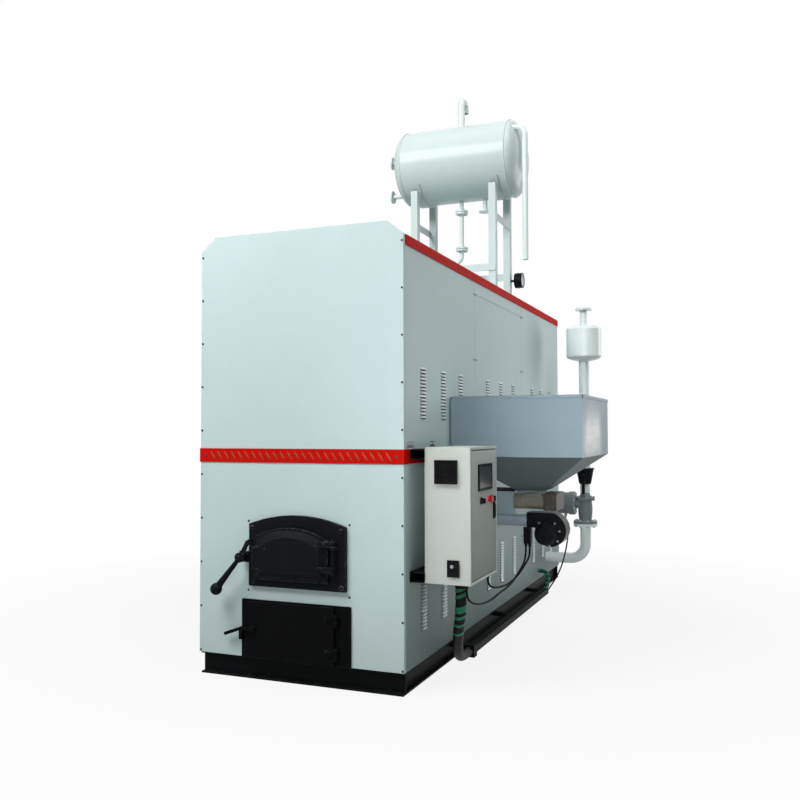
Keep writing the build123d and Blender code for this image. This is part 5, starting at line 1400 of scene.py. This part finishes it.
@dataclass
class Casing:
    """Casing sheets' screws, the embossed band, the bracket clips and the pressed louvres."""

    edge_inset: float = 0.009
    screw_size: Pair = (0.0065, 0.003)
    first_screw_z: float = 0.131
    screw_pitch: float = 0.248
    screw_rows: int = 10
    frame_margin: float = 0.015
    frame_screw_z: float = 0.868
    frame_foot_gap: float = 0.028
    band_z: float = 1.2315
    band_y: float = -1.954
    band_screw_x: float = 0.585
    seam_ys: Pair = (-0.6903, 0.5577)
    seam_inset: float = 0.022
    seam_top_gap: float = 0.14
    seam_pitch: float = 0.43
    seam_rows: int = 5
    dash_size: Point = (0.055, 0.011, 0.0022)
    dash_taper: Pair = (0.75, 0.5)
    dash_pitch: float = 0.045
    dash_count: int = 25
    dash_tilt_deg: float = -55.0
    clip_ys: Pair = (-1.87, -1.528)
    clip_length: float = 0.095
    clip_height: float = 0.04
    clip_reach: float = 0.03
    clip_sheet: float = 0.004
    clip_foot_z: float = 1.2703
    clip_rounding: float = 0.001
    clip_bolt: Pair = (0.008, 0.006)
    clip_bolt_shares: Pair = (0.25, 0.75)
    clip_bolt_rise: float = 0.6
    hood_ys: tuple[float, ...] = (-1.6611, -1.322, -0.9952, -0.3937, -0.0563, 0.2923, 0.9129, 1.2435, 1.5781)
    hood_feet: Pair = (0.289, 1.437)
    hood_rows: int = 15
    hood_pitch: float = 0.019
    hood_size: Point = (0.012, 0.045, 0.0125)
    slot_shade_size: Point = (0.006, 0.09, 0.001)
    slot_shade_taper: Pair = (0.9, 0.98)

    def build(self) -> None:
        """Make the screws, the band's dashes, the clips, the louvres' hoods and the dark strips of painted
        shade in their slots.
        """
        for name, places in (("front_screws", self.front_places()), ("side_screws", self.side_places())):
            fit(repeat(screw(*self.screw_size), name, places), BLACKENED)
        fit(self.dashes(), DASHES)
        fit(self.clips(), STEEL)
        fit(self.hoods(), LIT_LOUVRE)
        # Dark strips under the hoods: painted shade in the louvres' slots
        mouth = boss("mouth", self.slot_shade_size, self.slot_shade_taper, sides=20)
        fit(repeat(mouth, "louvre_slot_shades", self.slot_shade_places()), SLOT_SHADE)

    def hood(self) -> Piece:
        """Model one louvre hood on the right side: a quarter of a lens, flat side down.

        Returns:
            The hood, with its foot at the origin.
        """
        deselect()
        bpy.ops.mesh.primitive_uv_sphere_add(segments=16, ring_count=8, radius=1.0)
        obj = bpy.context.object
        with editing(obj):
            for way in (Way.LEFT, Way.DOWN):
                bpy.ops.mesh.select_all(action="SELECT")
                bpy.ops.mesh.bisect(plane_co=(0, 0, 0), plane_no=way.value, use_fill=True, clear_outer=True)
            bpy.ops.mesh.select_all(action="SELECT")
            bpy.ops.transform.resize(value=self.hood_size, center_override=(0, 0, 0))
        return settle(obj, "hood")

    def louvre_spots(self) -> list[Pair]:
        """List where the louvres lie on a side wall.

        Returns:
            How far back and how high the foot of each hood lies.
        """
        rises = [foot + row * self.hood_pitch for foot in self.hood_feet for row in range(self.hood_rows)]
        return [(y, z) for y in self.hood_ys for z in rises]

    def slot_shade_places(self) -> list[tuple[Point, Way]]:
        """List where the strips of painted shade in the slots lie on both side walls.

        Returns:
            Each strip's middle and direction.
        """
        low, high = corners("roof_panel")
        drop = self.slot_shade_size[0] / 2
        return [
            ((x, y, z - drop), way)
            for y, z in self.louvre_spots()
            for x, way in ((high.x, Way.RIGHT), (low.x, Way.LEFT))
        ]

    def hoods(self) -> Piece:
        """Copy the hood over every louvre of the right side, and mirror them to the left.

        Returns:
            All hoods.
        """
        side = corners("roof_panel")[1].x
        places = [((side, y, z), Way.UP) for y, z in self.louvre_spots()]
        right = repeat(self.hood(), "louvre_hoods", places)
        left = right.copy()
        left.data = right.data.copy()
        bpy.context.collection.objects.link(left)
        left.scale.x = -1.0
        settle(left, "left_hoods")
        with editing(left):
            bpy.ops.mesh.flip_normals()
        return join((right, left), "louvre_hoods")

    def front_places(self) -> list[tuple[Point, Way]]:
        """List where the screws of the front stand.

        Returns:
            Each screw's foot and direction.
        """
        low, high = corners("front_lower_panel")
        frame_low, frame_high = corners("fire_door_frame")
        spots = []
        for row in range(self.screw_rows):
            z = self.first_screw_z + row * self.screw_pitch
            spots += [(low.x + self.edge_inset, low.y, z), (high.x - self.edge_inset, low.y, z)]
        for x in (frame_low.x - self.frame_margin, frame_high.x + self.frame_margin):
            spots += [(x, low.y, z) for z in (self.frame_screw_z, frame_low.z - self.frame_foot_gap)]
        spots += [(x, self.band_y, self.band_z) for x in (-self.band_screw_x, self.band_screw_x)]
        return [(spot, Way.FRONT) for spot in spots]

    def side_places(self) -> list[tuple[Point, Way]]:
        """List where the screws beside the side seams stand.

        Returns:
            Each screw's foot and direction.
        """
        low, high = corners("roof_panel")
        places = []
        for row in range(self.seam_rows):
            z = high.z - self.seam_top_gap - row * self.seam_pitch
            for seam in self.seam_ys:
                for y in (seam - self.seam_inset, seam + self.seam_inset):
                    places += [((low.x, y, z), Way.LEFT), ((high.x, y, z), Way.RIGHT)]
        return places

    def dashes(self) -> Piece:
        """Model one raised dash of the band's pattern and copy it along the band.

        Returns:
            All dashes.
        """
        tilt = Matrix.Rotation(math.radians(self.dash_tilt_deg), 4, "Z")
        dash = settle(boss("dash", self.dash_size, self.dash_taper, sides=16), "dash", tilt)
        middle = (self.dash_count - 1) / 2
        steps = [(column - middle) * self.dash_pitch for column in range(self.dash_count)]
        return repeat(dash, "band_dashes", [((x, self.band_y, self.band_z), Way.FRONT) for x in steps])

    def clips(self) -> Piece:
        """Model the angle clips over the cabinet's upper bracket, with their bolts.

        Returns:
            Both clips.
        """
        side = corners("roof_panel")[1].x
        foot = self.clip_foot_z
        bolt_z = foot + self.clip_height * self.clip_bolt_rise
        made = []
        spots = []
        for y in self.clip_ys:
            start, end = y - self.clip_length / 2, y + self.clip_length / 2
            for reach, height in ((self.clip_sheet, self.clip_height), (self.clip_reach, self.clip_sheet)):
                low, high = (side, start, foot), (side + reach, end, foot + height)
                made.append(block("clip", low, high, self.clip_rounding))
            for share in self.clip_bolt_shares:
                spots.append(((side + self.clip_sheet, start + share * self.clip_length, bolt_z), Way.RIGHT))
        made.append(repeat(bolt(*self.clip_bolt), "clip_bolts", spots))
        return join(made, "bracket_clips")


@dataclass
class FireDoorSet:
    """Bolts and rivets of the cast fire door and its frame."""

    frame_face_y: float = -1.972
    dome_face_y: float = -2.015
    bolt_size: Pair = (0.012, 0.009)
    bolt_inset: float = 0.022
    bolt_top_z: float = 0.835
    rivet_radius: float = 0.008
    rivet_height: float = 0.005
    pad_xs: Pair = (-0.235, -0.166)
    pad_zs: Pair = (0.628, 0.724)
    strap_xs: Pair = (0.158, 0.19)
    strap_zs: Pair = (0.63225, 0.76725)

    def build(self) -> None:
        """Make the frame's bolts and the door's rivets."""
        low, high = corners("fire_door_frame")
        spots = [
            ((x, self.frame_face_y, z), Way.FRONT)
            for x in (low.x + self.bolt_inset, high.x - self.bolt_inset)
            for z in (low.z + self.bolt_inset, self.bolt_top_z)
        ]
        fit(repeat(bolt(*self.bolt_size), "fire_frame_bolts", spots), IRON)
        spots = [
            ((x, self.dome_face_y, z), Way.FRONT)
            for xs, zs in ((self.pad_xs, self.pad_zs), (self.strap_xs, self.strap_zs))
            for x in xs
            for z in zs
        ]
        steps = profile(RIVET_SHARES, self.rivet_height, self.rivet_radius)
        rivet = turned("rivet", (0, 0, 0), Way.UP, steps, sides=16)
        fit(repeat(rivet, "fire_door_rivets", spots), IRON, Body.FIRE_DOOR)


@dataclass
class AshDoorSet:
    """Hinge straps of the ash door."""

    face_y: float = -1.975
    strap_xs: Pair = (0.176, 0.236)
    strap_zs: Pair = (0.1944, 0.3696)
    strap_height: float = 0.034
    strap_sheet: float = 0.005
    strap_rounding: float = 0.0015
    bolt_size: Pair = (0.009, 0.007)
    bolt_xs: Pair = (0.19, 0.216)

    def build(self) -> None:
        """Make the straps and their bolts."""
        front = self.face_y - self.strap_sheet
        half = self.strap_height / 2
        start, end = self.strap_xs
        made = [
            block("strap", (start, front, z - half), (end, self.face_y, z + half), self.strap_rounding)
            for z in self.strap_zs
        ]
        spots = [((x, front, z), Way.FRONT) for z in self.strap_zs for x in self.bolt_xs]
        made.append(repeat(bolt(*self.bolt_size), "strap_bolts", spots))
        fit(join(made, "ash_door_straps"), PLATE, Body.ASH_DOOR)


@dataclass
class CabinetSet:
    """Grille, switch plate, door controls and glands of the cabinet."""

    tray_rounding: float = 0.0015
    grille_middle: Point = (0.822, -1.86, 1.1522)
    grille_half: float = 0.062
    grille_lip: float = 0.009
    grille_depth: float = 0.007
    grille_back: float = 0.01
    grille_rings: tuple[float, ...] = (0.017, 0.03, 0.043)
    wire: float = 0.0035
    wire_depth_share: float = 0.6
    bar_reach_share: float = 1.3
    bar_angles_deg: Pair = (45.0, -45.0)
    bar_rounding: float = 0.0008
    hub_steps: Steps = ((0.0, 0.012), (0.003, 0.011))
    plate_middle: Point = (0.8595, -1.857, 0.6552)
    plate_half: Point = (0.033, 0.0, 0.044)
    plate_sheet: float = 0.003
    plate_lip: float = 0.004
    plate_depth: float = 0.002
    plate_screw: Pair = (0.004, 0.002)
    plate_screw_out: float = 0.001
    plate_screw_share: float = 0.8
    key_offset: Point = (-0.006, -0.003, 0.011)
    key_steps: Steps = ((0.0, 0.009), (0.003, 0.009), (0.0045, 0.0072))
    face_x: float = 0.952
    screen_middle: Pair = (-1.59, 1.1167)
    screen_half: Pair = (0.125, 0.071)
    screen_depth: float = 0.009
    screen_lip: float = 0.011
    screen_well: float = 0.003
    glass_gap: float = 0.002
    glass_sheet: float = 0.0015
    glass_rounding: float = 0.0005
    control_z: float = 0.99245
    knob_ys: Pair = (-1.66, -1.46)
    knob_radius: float = 0.016
    knob_height: float = 0.02
    knob_bar: Pair = (0.85, 0.28)
    knob_bar_rises: Pair = (0.012, 0.026)
    knob_rounding: float = 0.0015
    stop_y: float = -1.525
    stop_steps: Steps = (
        (0.0, 0.0154),
        (0.012, 0.01364),
        (0.014, 0.02024),
        (0.018, 0.022),
        (0.024, 0.02112),
        (0.028, 0.01584),
        (0.03, 0.0066),
    )
    handle_middle: Pair = (-1.42, 0.925)
    handle_half: Pair = (0.012, 0.048)
    handle_depth: float = 0.009
    handle_lip: float = 0.004
    handle_well: float = 0.003
    handle_bar_low: Point = (0.005, 0.006, 0.0096)
    handle_bar_high: Point = (0.005, -0.006, -0.0168)
    handle_rounding: float = 0.002
    foot_z: float = 0.57
    conduit_gland: Pair = (0.03, 0.038)
    conduit_exit: Pair = (0.868, -1.75)
    cable_gland: Pair = (0.022, 0.013)
    cable_exits: tuple[Pair, ...] = ((0.922, -1.44), (0.907, -1.78))

    def build(self) -> None:
        """Make what stands on the shell, then what rides the door."""
        fit(self.grille(), PLASTIC, nodes=("cabinet_vents",))
        fit(self.switch_plate(), PLASTIC, nodes=("cabinet_vents",))
        key = Vector(self.plate_middle) + Vector(self.key_offset)
        fit(turned("switch_key", key, Way.FRONT, self.key_steps, sides=24), STEEL)
        fit(self.glands(), PLASTIC)
        door = Body.CABINET_DOOR
        fit(self.screen_frame(), PLASTIC, door, ("door_controls",))
        fit(self.screen_glass(), SCREEN, door)
        fit(self.knobs(), PLASTIC, door, ("door_controls",))
        stop = (self.face_x, self.stop_y, self.control_z)
        button = turned("stop_button", stop, Way.RIGHT, self.stop_steps, sides=36)
        fit(button, STOP_RED, door, ("door_controls",))
        fit(self.handle(), PLASTIC, door, ("door_controls",))

    def grille(self) -> Piece:
        """Model the fan grille: a frame, rings and two crossed bars.

        Returns:
            The grille.
        """
        middle = Vector(self.grille_middle)
        half = self.grille_half
        low = middle + Vector((-half, -self.grille_depth, -half))
        high = middle + Vector((half, self.grille_back, half))
        shell = block("grille", low, high, self.tray_rounding)
        made = [press(shell, "grille", Way.FRONT, self.grille_lip, self.grille_depth)]
        front = middle + Vector((0, -self.grille_depth * self.wire_depth_share, 0))
        for radius in self.grille_rings:
            made.append(ring("grille_ring", front, Way.FRONT, radius, self.wire, sides=36))
        reach = (half - self.grille_lip) * self.bar_reach_share
        corner = Vector((reach, self.wire / 2, self.wire))
        for angle in self.bar_angles_deg:
            bar = block("grille_bar", -corner, corner, self.bar_rounding)
            turn = Matrix.Rotation(math.radians(angle), 4, "Y")
            made.append(settle(bar, "grille_bar", Matrix.Translation(front) @ turn))
        made.append(turned("grille_hub", front, Way.FRONT, self.hub_steps, sides=20))
        return join(made, "fan_grille")

    def switch_plate(self) -> Piece:
        """Model the switch plate with its two screws.

        Returns:
            The plate.
        """
        middle = Vector(self.plate_middle)
        reach = Vector(self.plate_half)
        low = middle - reach - Vector((0, self.plate_sheet, 0))
        plate = block("plate", low, middle + reach, self.tray_rounding)
        press(plate, "plate", Way.FRONT, self.plate_lip, self.plate_depth)
        rise = reach.z * self.plate_screw_share
        spots = [(middle + Vector((0, -self.plate_screw_out, z)), Way.FRONT) for z in (-rise, rise)]
        return join((plate, repeat(screw(*self.plate_screw), "plate_screws", spots)), "switch_plate")

    def glands(self) -> Piece:
        """Model the glands round the conduit and the cables under the cabinet.

        Returns:
            All glands.
        """
        spots = [(self.conduit_exit, self.conduit_gland)]
        spots += [(spot, self.cable_gland) for spot in self.cable_exits]
        made = []
        for (x, y), size in spots:
            nut = profile(GLAND_SHARES, *size)
            made.append(turned("gland", (x, y, self.foot_z), Way.DOWN, nut, sides=12))
        return join(made, "cabinet_glands")

    def screen_frame(self) -> Piece:
        """Model the frame of the screen.

        Returns:
            The frame.
        """
        y, z = self.screen_middle
        half_y, half_z = self.screen_half
        low = (self.face_x, y - half_y, z - half_z)
        high = (self.face_x + self.screen_depth, y + half_y, z + half_z)
        shell = block("screen_frame", low, high, self.tray_rounding)
        return press(shell, "screen_frame", Way.RIGHT, self.screen_lip, self.screen_well)

    def screen_glass(self) -> Piece:
        """Model the glass that lies in the screen's frame.

        Returns:
            The glass.
        """
        y, z = self.screen_middle
        half_y, half_z = (half - self.screen_lip - self.glass_gap for half in self.screen_half)
        back = self.face_x + self.screen_depth - self.screen_well
        low = (back, y - half_y, z - half_z)
        high = (back + self.glass_sheet, y + half_y, z + half_z)
        return block("screen_glass", low, high, self.glass_rounding)

    def knobs(self) -> Piece:
        """Model a selector knob with its grip bar, and copy it to both places.

        Returns:
            Both knobs.
        """
        radius = self.knob_radius
        knob = turned("knob", (0, 0, 0), Way.UP, profile(KNOB_SHARES, self.knob_height, radius), sides=28)
        length, width = (radius * share for share in self.knob_bar)
        foot, top = self.knob_bar_rises
        bar = block("knob_bar", (-length, -width, foot), (length, width, top), self.knob_rounding)
        places = [((self.face_x, y, self.control_z), Way.RIGHT) for y in self.knob_ys]
        return repeat(join((knob, bar), "knob"), "selector_knobs", places)

    def handle(self) -> Piece:
        """Model the flat swing handle in its tray.

        Returns:
            The handle.
        """
        y, z = self.handle_middle
        half_y, half_z = self.handle_half
        low = Vector((self.face_x, y - half_y, z - half_z))
        high = Vector((self.face_x + self.handle_depth, y + half_y, z + half_z))
        plate = block("handle_tray", low, high, self.tray_rounding)
        press(plate, "handle_tray", Way.RIGHT, self.handle_lip, self.handle_well)
        ends = low + Vector(self.handle_bar_low), high + Vector(self.handle_bar_high)
        return join((plate, block("handle_bar", *ends, self.handle_rounding)), "door_handle")


@dataclass
class HopperSet:
    """Folded rim of the hopper and the slide gate in its outlet."""

    rim_height: float = 0.016
    rim_width: float = 0.009
    rim_over: float = 0.003
    rim_rounding: float = 0.002
    gate_half: Pair = (0.0895, 0.0945)
    gate_sheet: float = 0.004
    gate_fold: float = 0.012
    gate_rounding: float = 0.0008

    def build(self) -> None:
        """Make the rim and the gate."""
        fit(self.rim(), HOPPER)
        fit(self.gate(), SHADED_CONE)

    def rim(self) -> Piece:
        """Model the rim of four bars.

        Returns:
            The rim.
        """
        low, high = corners("hopper_bin")
        foot, top = high.z - self.rim_height, high.z + self.rim_over
        out, inner = self.rim_over, self.rim_width
        spans = [((x, low.y - out), (x + inner, high.y + out)) for x in (low.x - out, high.x + out - inner)]
        spans += [((low.x - out, y), (high.x + out, y + inner)) for y in (low.y - out, high.y + out - inner)]
        bars = [block("rim", (*start, foot), (*end, top), self.rim_rounding) for start, end in spans]
        return join(bars, "hopper_rim")

    def gate(self) -> Piece:
        """Model the gate plate that closes the cone's outlet, with a pressed middle.

        Returns:
            The gate.
        """
        low, high = corners("hopper_cone")
        middle = Vector(((low.x + high.x) / 2, (low.y + high.y) / 2, low.z))
        reach = Vector((*self.gate_half, 0.0))
        top = middle + reach + Vector((0, 0, self.gate_sheet))
        plate = block("hopper_gate", middle - reach, top, self.gate_rounding)
        return press(plate, "hopper_gate", Way.UP, self.gate_fold, -self.gate_sheet)


@dataclass
class BurnerSet:
    """Bolts, lid, motor fittings and blower fittings under the hopper."""

    flange_inset: float = 0.016
    flange_rows: int = 3
    bolt_size: Pair = (0.011, 0.009)
    flange_sheet: float = 0.014
    collar_x: float = 0.702
    collar_sheet: float = 0.012
    collar_inset: float = 0.021
    collar_foot: float = -0.004
    collar_top_gap: float = 0.005
    collar_rounding: float = 0.003
    lid_sheet: float = 0.005
    lid_drop: float = 0.0047
    lid_inset: float = 0.024
    lid_end_gap: float = 0.004
    lid_rounding: float = 0.0015
    cowl_end_x: float = 0.993
    motor_radius: float = 0.043
    band_radius: float = 0.046
    band_sheet: float = 0.006
    box_xs: Pair = (1.0, 1.105)
    box_half: float = 0.03
    box_sink: float = 0.02
    box_rise: float = 0.008
    box_rounding: float = 0.003
    cover_inset: float = 0.009
    cover_sheet: float = 0.005
    cover_rounding: float = 0.002
    cover_bolt: Pair = (0.006, 0.004)
    screw_angles_deg: tuple[float, ...] = (128.0, 52.0, 12.0, -34.0, -78.0)
    screw_ring: float = 0.079
    screw_size: Pair = (0.007, 0.004)
    cap_radius: float = 0.05
    cap_height: float = 0.01
    plug_reliefs: tuple[Pair, ...] = ((1.019, -0.8465), (0.995, -0.8465))
    relief_steps: Steps = ((0.0, 0.0105), (0.008, 0.0105), (0.02, 0.0075))

    def build(self) -> None:
        """Make the burner's fittings, then the motors' and the blower's."""
        fit(self.flange_bolts(), STEEL)
        fit(self.collar(), DUCTING)
        fit(self.lid(), IRON)
        fit(self.motor_fittings(), OLIVE)
        fit(self.gear_cover(), GEARBOX)
        fit(self.blower_screws(), STEEL)
        fit(self.blower_cap(), BLOWER)
        fit(self.reliefs(), PLASTIC)

    def flange_bolts(self) -> Piece:
        """Model the bolts that hold the burner's flange.

        Returns:
            All bolts.
        """
        low, high = corners("burner_body")
        face = low.x + self.flange_sheet
        span = high.z - low.z - 2 * self.flange_inset
        spots = []
        for y in (low.y + self.flange_inset, high.y - self.flange_inset):
            for row in range(self.flange_rows):
                z = low.z + self.flange_inset + row * span / (self.flange_rows - 1)
                spots.append(((face, y, z), Way.RIGHT))
        return repeat(bolt(*self.bolt_size), "burner_bolts", spots)

    def collar(self) -> Piece:
        """Model the collar round the burner's body.

        Returns:
            The collar.
        """
        low, high = corners("burner_body")
        start = (self.collar_x, low.y + self.collar_inset, low.z + self.collar_foot)
        end = (self.collar_x + self.collar_sheet, high.y - self.collar_inset, high.z - self.collar_top_gap)
        return block("burner_collar", start, end, self.collar_rounding)

    def lid(self) -> Piece:
        """Model the dark lid gasket on the burner.

        Returns:
            The gasket.
        """
        low, high = corners("burner_body")
        top = high.z - self.lid_drop
        start = (low.x + self.flange_sheet, low.y + self.lid_inset, top - self.lid_sheet)
        end = (high.x - self.lid_end_gap, high.y - self.lid_inset, top + self.lid_sheet)
        return block("burner_lid", start, end, self.lid_rounding)

    def motor_fittings(self) -> Piece:
        """Model the feed motor's bands and terminal box.

        Returns:
            The fittings in one piece.
        """
        low, high = corners("feed_motor")
        y, z = (low.y + high.y) / 2, (low.z + high.z) / 2
        steps = ((0.0, self.band_radius), (self.band_sheet, self.band_radius))
        made = [
            turned("motor_band", (x, y, z), Way.RIGHT, steps, sides=40)
            for x in (self.cowl_end_x, high.x - self.band_sheet)
        ]
        top = z + self.motor_radius
        start, end = self.box_xs
        box_low = (start, y - self.box_half, top - self.box_sink)
        box_high = (end, y + self.box_half, top + self.box_rise)
        made.append(block("motor_box", box_low, box_high, self.box_rounding))
        return join(made, "feed_motor_fittings")

    def gear_cover(self) -> Piece:
        """Model the cover plate on the gearbox with its bolts.

        Returns:
            The cover.
        """
        gear_low, gear_high = corners("feed_gearbox")
        inset = Vector((self.cover_inset, 0.0, self.cover_inset))
        low = gear_low + inset - Vector((0, self.cover_sheet, 0))
        high = Vector((gear_high.x, gear_low.y, gear_high.z)) - inset
        cover = block("gear_cover", low, high, self.cover_rounding)
        spots = [
            ((x, low.y, z), Way.FRONT)
            for x in (low.x + inset.x, high.x - inset.x)
            for z in (low.z + inset.z, high.z - inset.z)
        ]
        return join((cover, repeat(bolt(*self.cover_bolt), "cover_bolts", spots)), "gearbox_cover")

    def blower_screws(self) -> Piece:
        """Model the bright screws round the blower's motor.

        Returns:
            All screws.
        """
        low, high = corners("blower_motor")
        middle = (low + high) / 2
        spots = []
        for angle in self.screw_angles_deg:
            x = middle.x + self.screw_ring * math.cos(math.radians(angle))
            z = middle.z + self.screw_ring * math.sin(math.radians(angle))
            spots.append(((x, high.y, z), Way.FRONT))
        return repeat(screw(*self.screw_size), "blower_screws", spots)

    def blower_cap(self) -> Piece:
        """Model the stepped end cap of the blower's motor.

        Returns:
            The cap.
        """
        low, high = corners("blower_motor")
        place = ((low.x + high.x) / 2, low.y, (low.z + high.z) / 2)
        steps = profile(CAP_SHARES, self.cap_height, self.cap_radius)
        return turned("blower_cap", place, Way.FRONT, steps, sides=40)

    def reliefs(self) -> Piece:
        """Model the strain reliefs where the cables enter the plug.

        Returns:
            Both reliefs.
        """
        foot = corners("blower_plug")[0].z
        relief = turned("relief", (0, 0, 0), Way.UP, self.relief_steps, sides=16)
        return repeat(relief, "plug_reliefs", [((x, y, foot), Way.DOWN) for x, y in self.plug_reliefs])


@dataclass
class PumpSet:
    """Flange bolts, split ring, sleeve and motor fins of the pump line."""

    bolt_circle: float = 0.082
    bolt_count: int = 8
    bolt_size: Pair = (0.011, 0.01)
    line: Pair = (0.965, 1.42)
    flange_zs: Pair = (0.544, 0.588)
    port_x: float = 0.877
    port_z: float = 0.7363
    sleeve_z: float = 0.8285
    sleeve_steps: Steps = ((0.0, 0.0405), (0.003, 0.0425), (0.074, 0.0425), (0.077, 0.0405))
    fin_xs: tuple[float, ...] = (0.681, 0.692, 0.703, 0.714, 0.725)
    fin_radius: float = 0.077
    fin_wire: float = 0.005
    split_z: float = 0.772
    split_sheet: float = 0.016
    split_steps: Steps = ((0.0, 0.052), (0.001, 0.08), (0.016, 0.08), (0.017, 0.05))
    split_circle: float = 0.071
    split_bolt: Pair = (0.009, 0.011)
    split_bolt_start: float = 0.25
    vent_z: float = 0.68
    vent_out: float = 0.045
    vent_steps: Steps = ((0.0, 0.014), (0.018, 0.014), (0.018, 0.019), (0.03, 0.019))
    valve_rim_z: float = 1.035
    valve_radius: float = 0.076
    valve_wire: float = 0.012

    def build(self) -> None:
        """Make the bolts, the split ring, the sleeve, the fins and the valve's rim."""
        x, y = self.line
        foot, top = self.flange_zs
        spots = []
        for across, along in circle(self.bolt_circle, self.bolt_count, start=0.5):
            spots.append(((x + across, y + along, foot), Way.DOWN))
            spots.append(((x + across, y + along, top), Way.UP))
            spots.append(((self.port_x, y + across, self.port_z + along), Way.RIGHT))
        fit(repeat(bolt(*self.bolt_size), "line_bolts", spots), STEEL)
        fit(self.split_ring(), PUMP)
        sleeve = turned("valve_sleeve", (x, y, self.sleeve_z), Way.UP, self.sleeve_steps, sides=40)
        fit(sleeve, LIT_PIPEWORK)
        fin = ring("fin", (0, 0, 0), Way.UP, self.fin_radius, self.fin_wire, sides=40)
        places = [((fin_x, y, self.port_z), Way.RIGHT) for fin_x in self.fin_xs]
        fit(repeat(fin, "pump_fins", places), PUMP)
        rim_place = (x, y, self.valve_rim_z)
        rim = ring("valve_rim", rim_place, Way.UP, self.valve_radius, self.valve_wire, sides=40)
        fit(rim, IRON)

    def split_ring(self) -> Piece:
        """Model the bolted ring where the pump's casting splits, and its vent plug.

        Returns:
            Both in one piece.
        """
        x, y = self.line
        made = [turned("split", (x, y, self.split_z), Way.UP, self.split_steps, sides=48)]
        spots = []
        for across, along in circle(self.split_circle, self.bolt_count, self.split_bolt_start):
            spots.append(((x + across, y + along, self.split_z + self.split_sheet), Way.UP))
            spots.append(((x + across, y + along, self.split_z), Way.DOWN))
        made.append(repeat(bolt(*self.split_bolt), "split_bolts", spots))
        made.append(turned("vent", (x, y - self.vent_out, self.vent_z), Way.FRONT, self.vent_steps, sides=6))
        return join(made, "pump_split_ring")


@dataclass
class TankSet:
    """Weld seams, flange bolts and the dial of the expansion tank."""

    axis: Pair = (0.985, 3.675)
    seam_x: float = 0.459
    seam_radius: float = 0.321
    bead: float = 0.009
    flange_tops: Pair = (3.2727, 2.9517)
    flange_feet: Pair = (3.2417, 2.9207)
    flange_circle: float = 0.036
    bolt_count: int = 4
    bolt_size: Pair = (0.009, 0.008)
    face_steps: Steps = ((-0.002, 0.059), (0.001, 0.059))
    rim_steps: Steps = ((0.0, 0.061), (-0.035, 0.063))
    rim_wire: float = 0.011
    tick_count: int = 11
    tick_first_deg: float = 225.0
    tick_sweep_deg: float = 270.0
    tick_size: Point = (0.04, 0.051, 0.0016)
    needle_deg: float = 60.0
    needle_size: Point = (-0.012, 0.044, 0.0022)
    mark_sheet: float = 0.002
    mark_rounding: float = 0.0003

    def build(self) -> None:
        """Make the seams, the bolts and the dial."""
        y, z = self.axis
        seam = ring("seam", (0, 0, 0), Way.UP, self.seam_radius, self.bead, sides=96)
        places = [((x, y, z), Way.RIGHT) for x in (-self.seam_x, self.seam_x)]
        fit(repeat(seam, "tank_weld_seams", places), GLOSS)
        fit(self.flange_bolts(), STEEL)
        self.dial()

    def flange_bolts(self) -> Piece:
        """Model the bolts of the expansion pipe's flange pairs.

        Returns:
            All bolts.
        """
        y = self.axis[0]
        spots = []
        for across, along in circle(self.flange_circle, self.bolt_count, start=0.5):
            spots += [((across, y + along, top), Way.UP) for top in self.flange_tops]
            spots += [((across, y + along, foot), Way.DOWN) for foot in self.flange_feet]
        return repeat(bolt(*self.bolt_size), "expansion_bolts", spots)

    def dial(self) -> None:
        """Make the gauge's face, rims, ticks and needle."""
        low, high = corners("dial_gauge")
        middle = Vector((high.x, (low.y + high.y) / 2, (low.z + high.z) / 2))
        fit(turned("gauge_face", middle, Way.RIGHT, self.face_steps, sides=48), DIAL)
        rims = [
            ring("rim", middle + Vector((shift, 0, 0)), Way.RIGHT, radius, self.rim_wire, sides=56)
            for shift, radius in self.rim_steps
        ]
        fit(join(rims, "gauge_rims"), PLASTIC)
        pitch = self.tick_sweep_deg / (self.tick_count - 1)
        angles = [self.tick_first_deg - step * pitch for step in range(self.tick_count)]
        marks = [self.mark(middle, angle, self.tick_size) for angle in angles]
        marks.append(self.mark(middle, self.needle_deg, self.needle_size))
        fit(join(marks, "gauge_marks"), PLASTIC)

    def mark(self, middle: Vector, angle_deg: float, size: Point) -> Piece:
        """Model a thin bar on the gauge's face.

        Args:
            middle: The middle of the face.
            angle_deg: Where the bar points, from level on the viewer's right.
            size: How far from the middle it starts and ends, and how wide it is.

        Returns:
            The bar.
        """
        start, end, width = size
        low, high = (0, start, -width / 2), (self.mark_sheet, end, width / 2)
        bar = block("mark", low, high, self.mark_rounding)
        turn = Matrix.Rotation(math.radians(angle_deg), 4, "X")
        return settle(bar, "mark", Matrix.Translation(middle) @ turn)


def main() -> None:
    """Build the studio and every sub-assembly in order."""
    logging.basicConfig(level=logging.INFO, format="%(message)s")
    Studio().build()
    for cord in CORDS:
        cord.build()
    for finish, nodes in NODE_FINISHES.items():
        for node in nodes:
            dress(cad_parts[node], finish)
    for assembly in (
        Casing(),
        FireDoorSet(),
        AshDoorSet(),
        CabinetSet(),
        HopperSet(),
        BurnerSet(),
        PumpSet(),
        TankSet(),
    ):
        assembly.build()


if __name__ == "__main__":
    main()
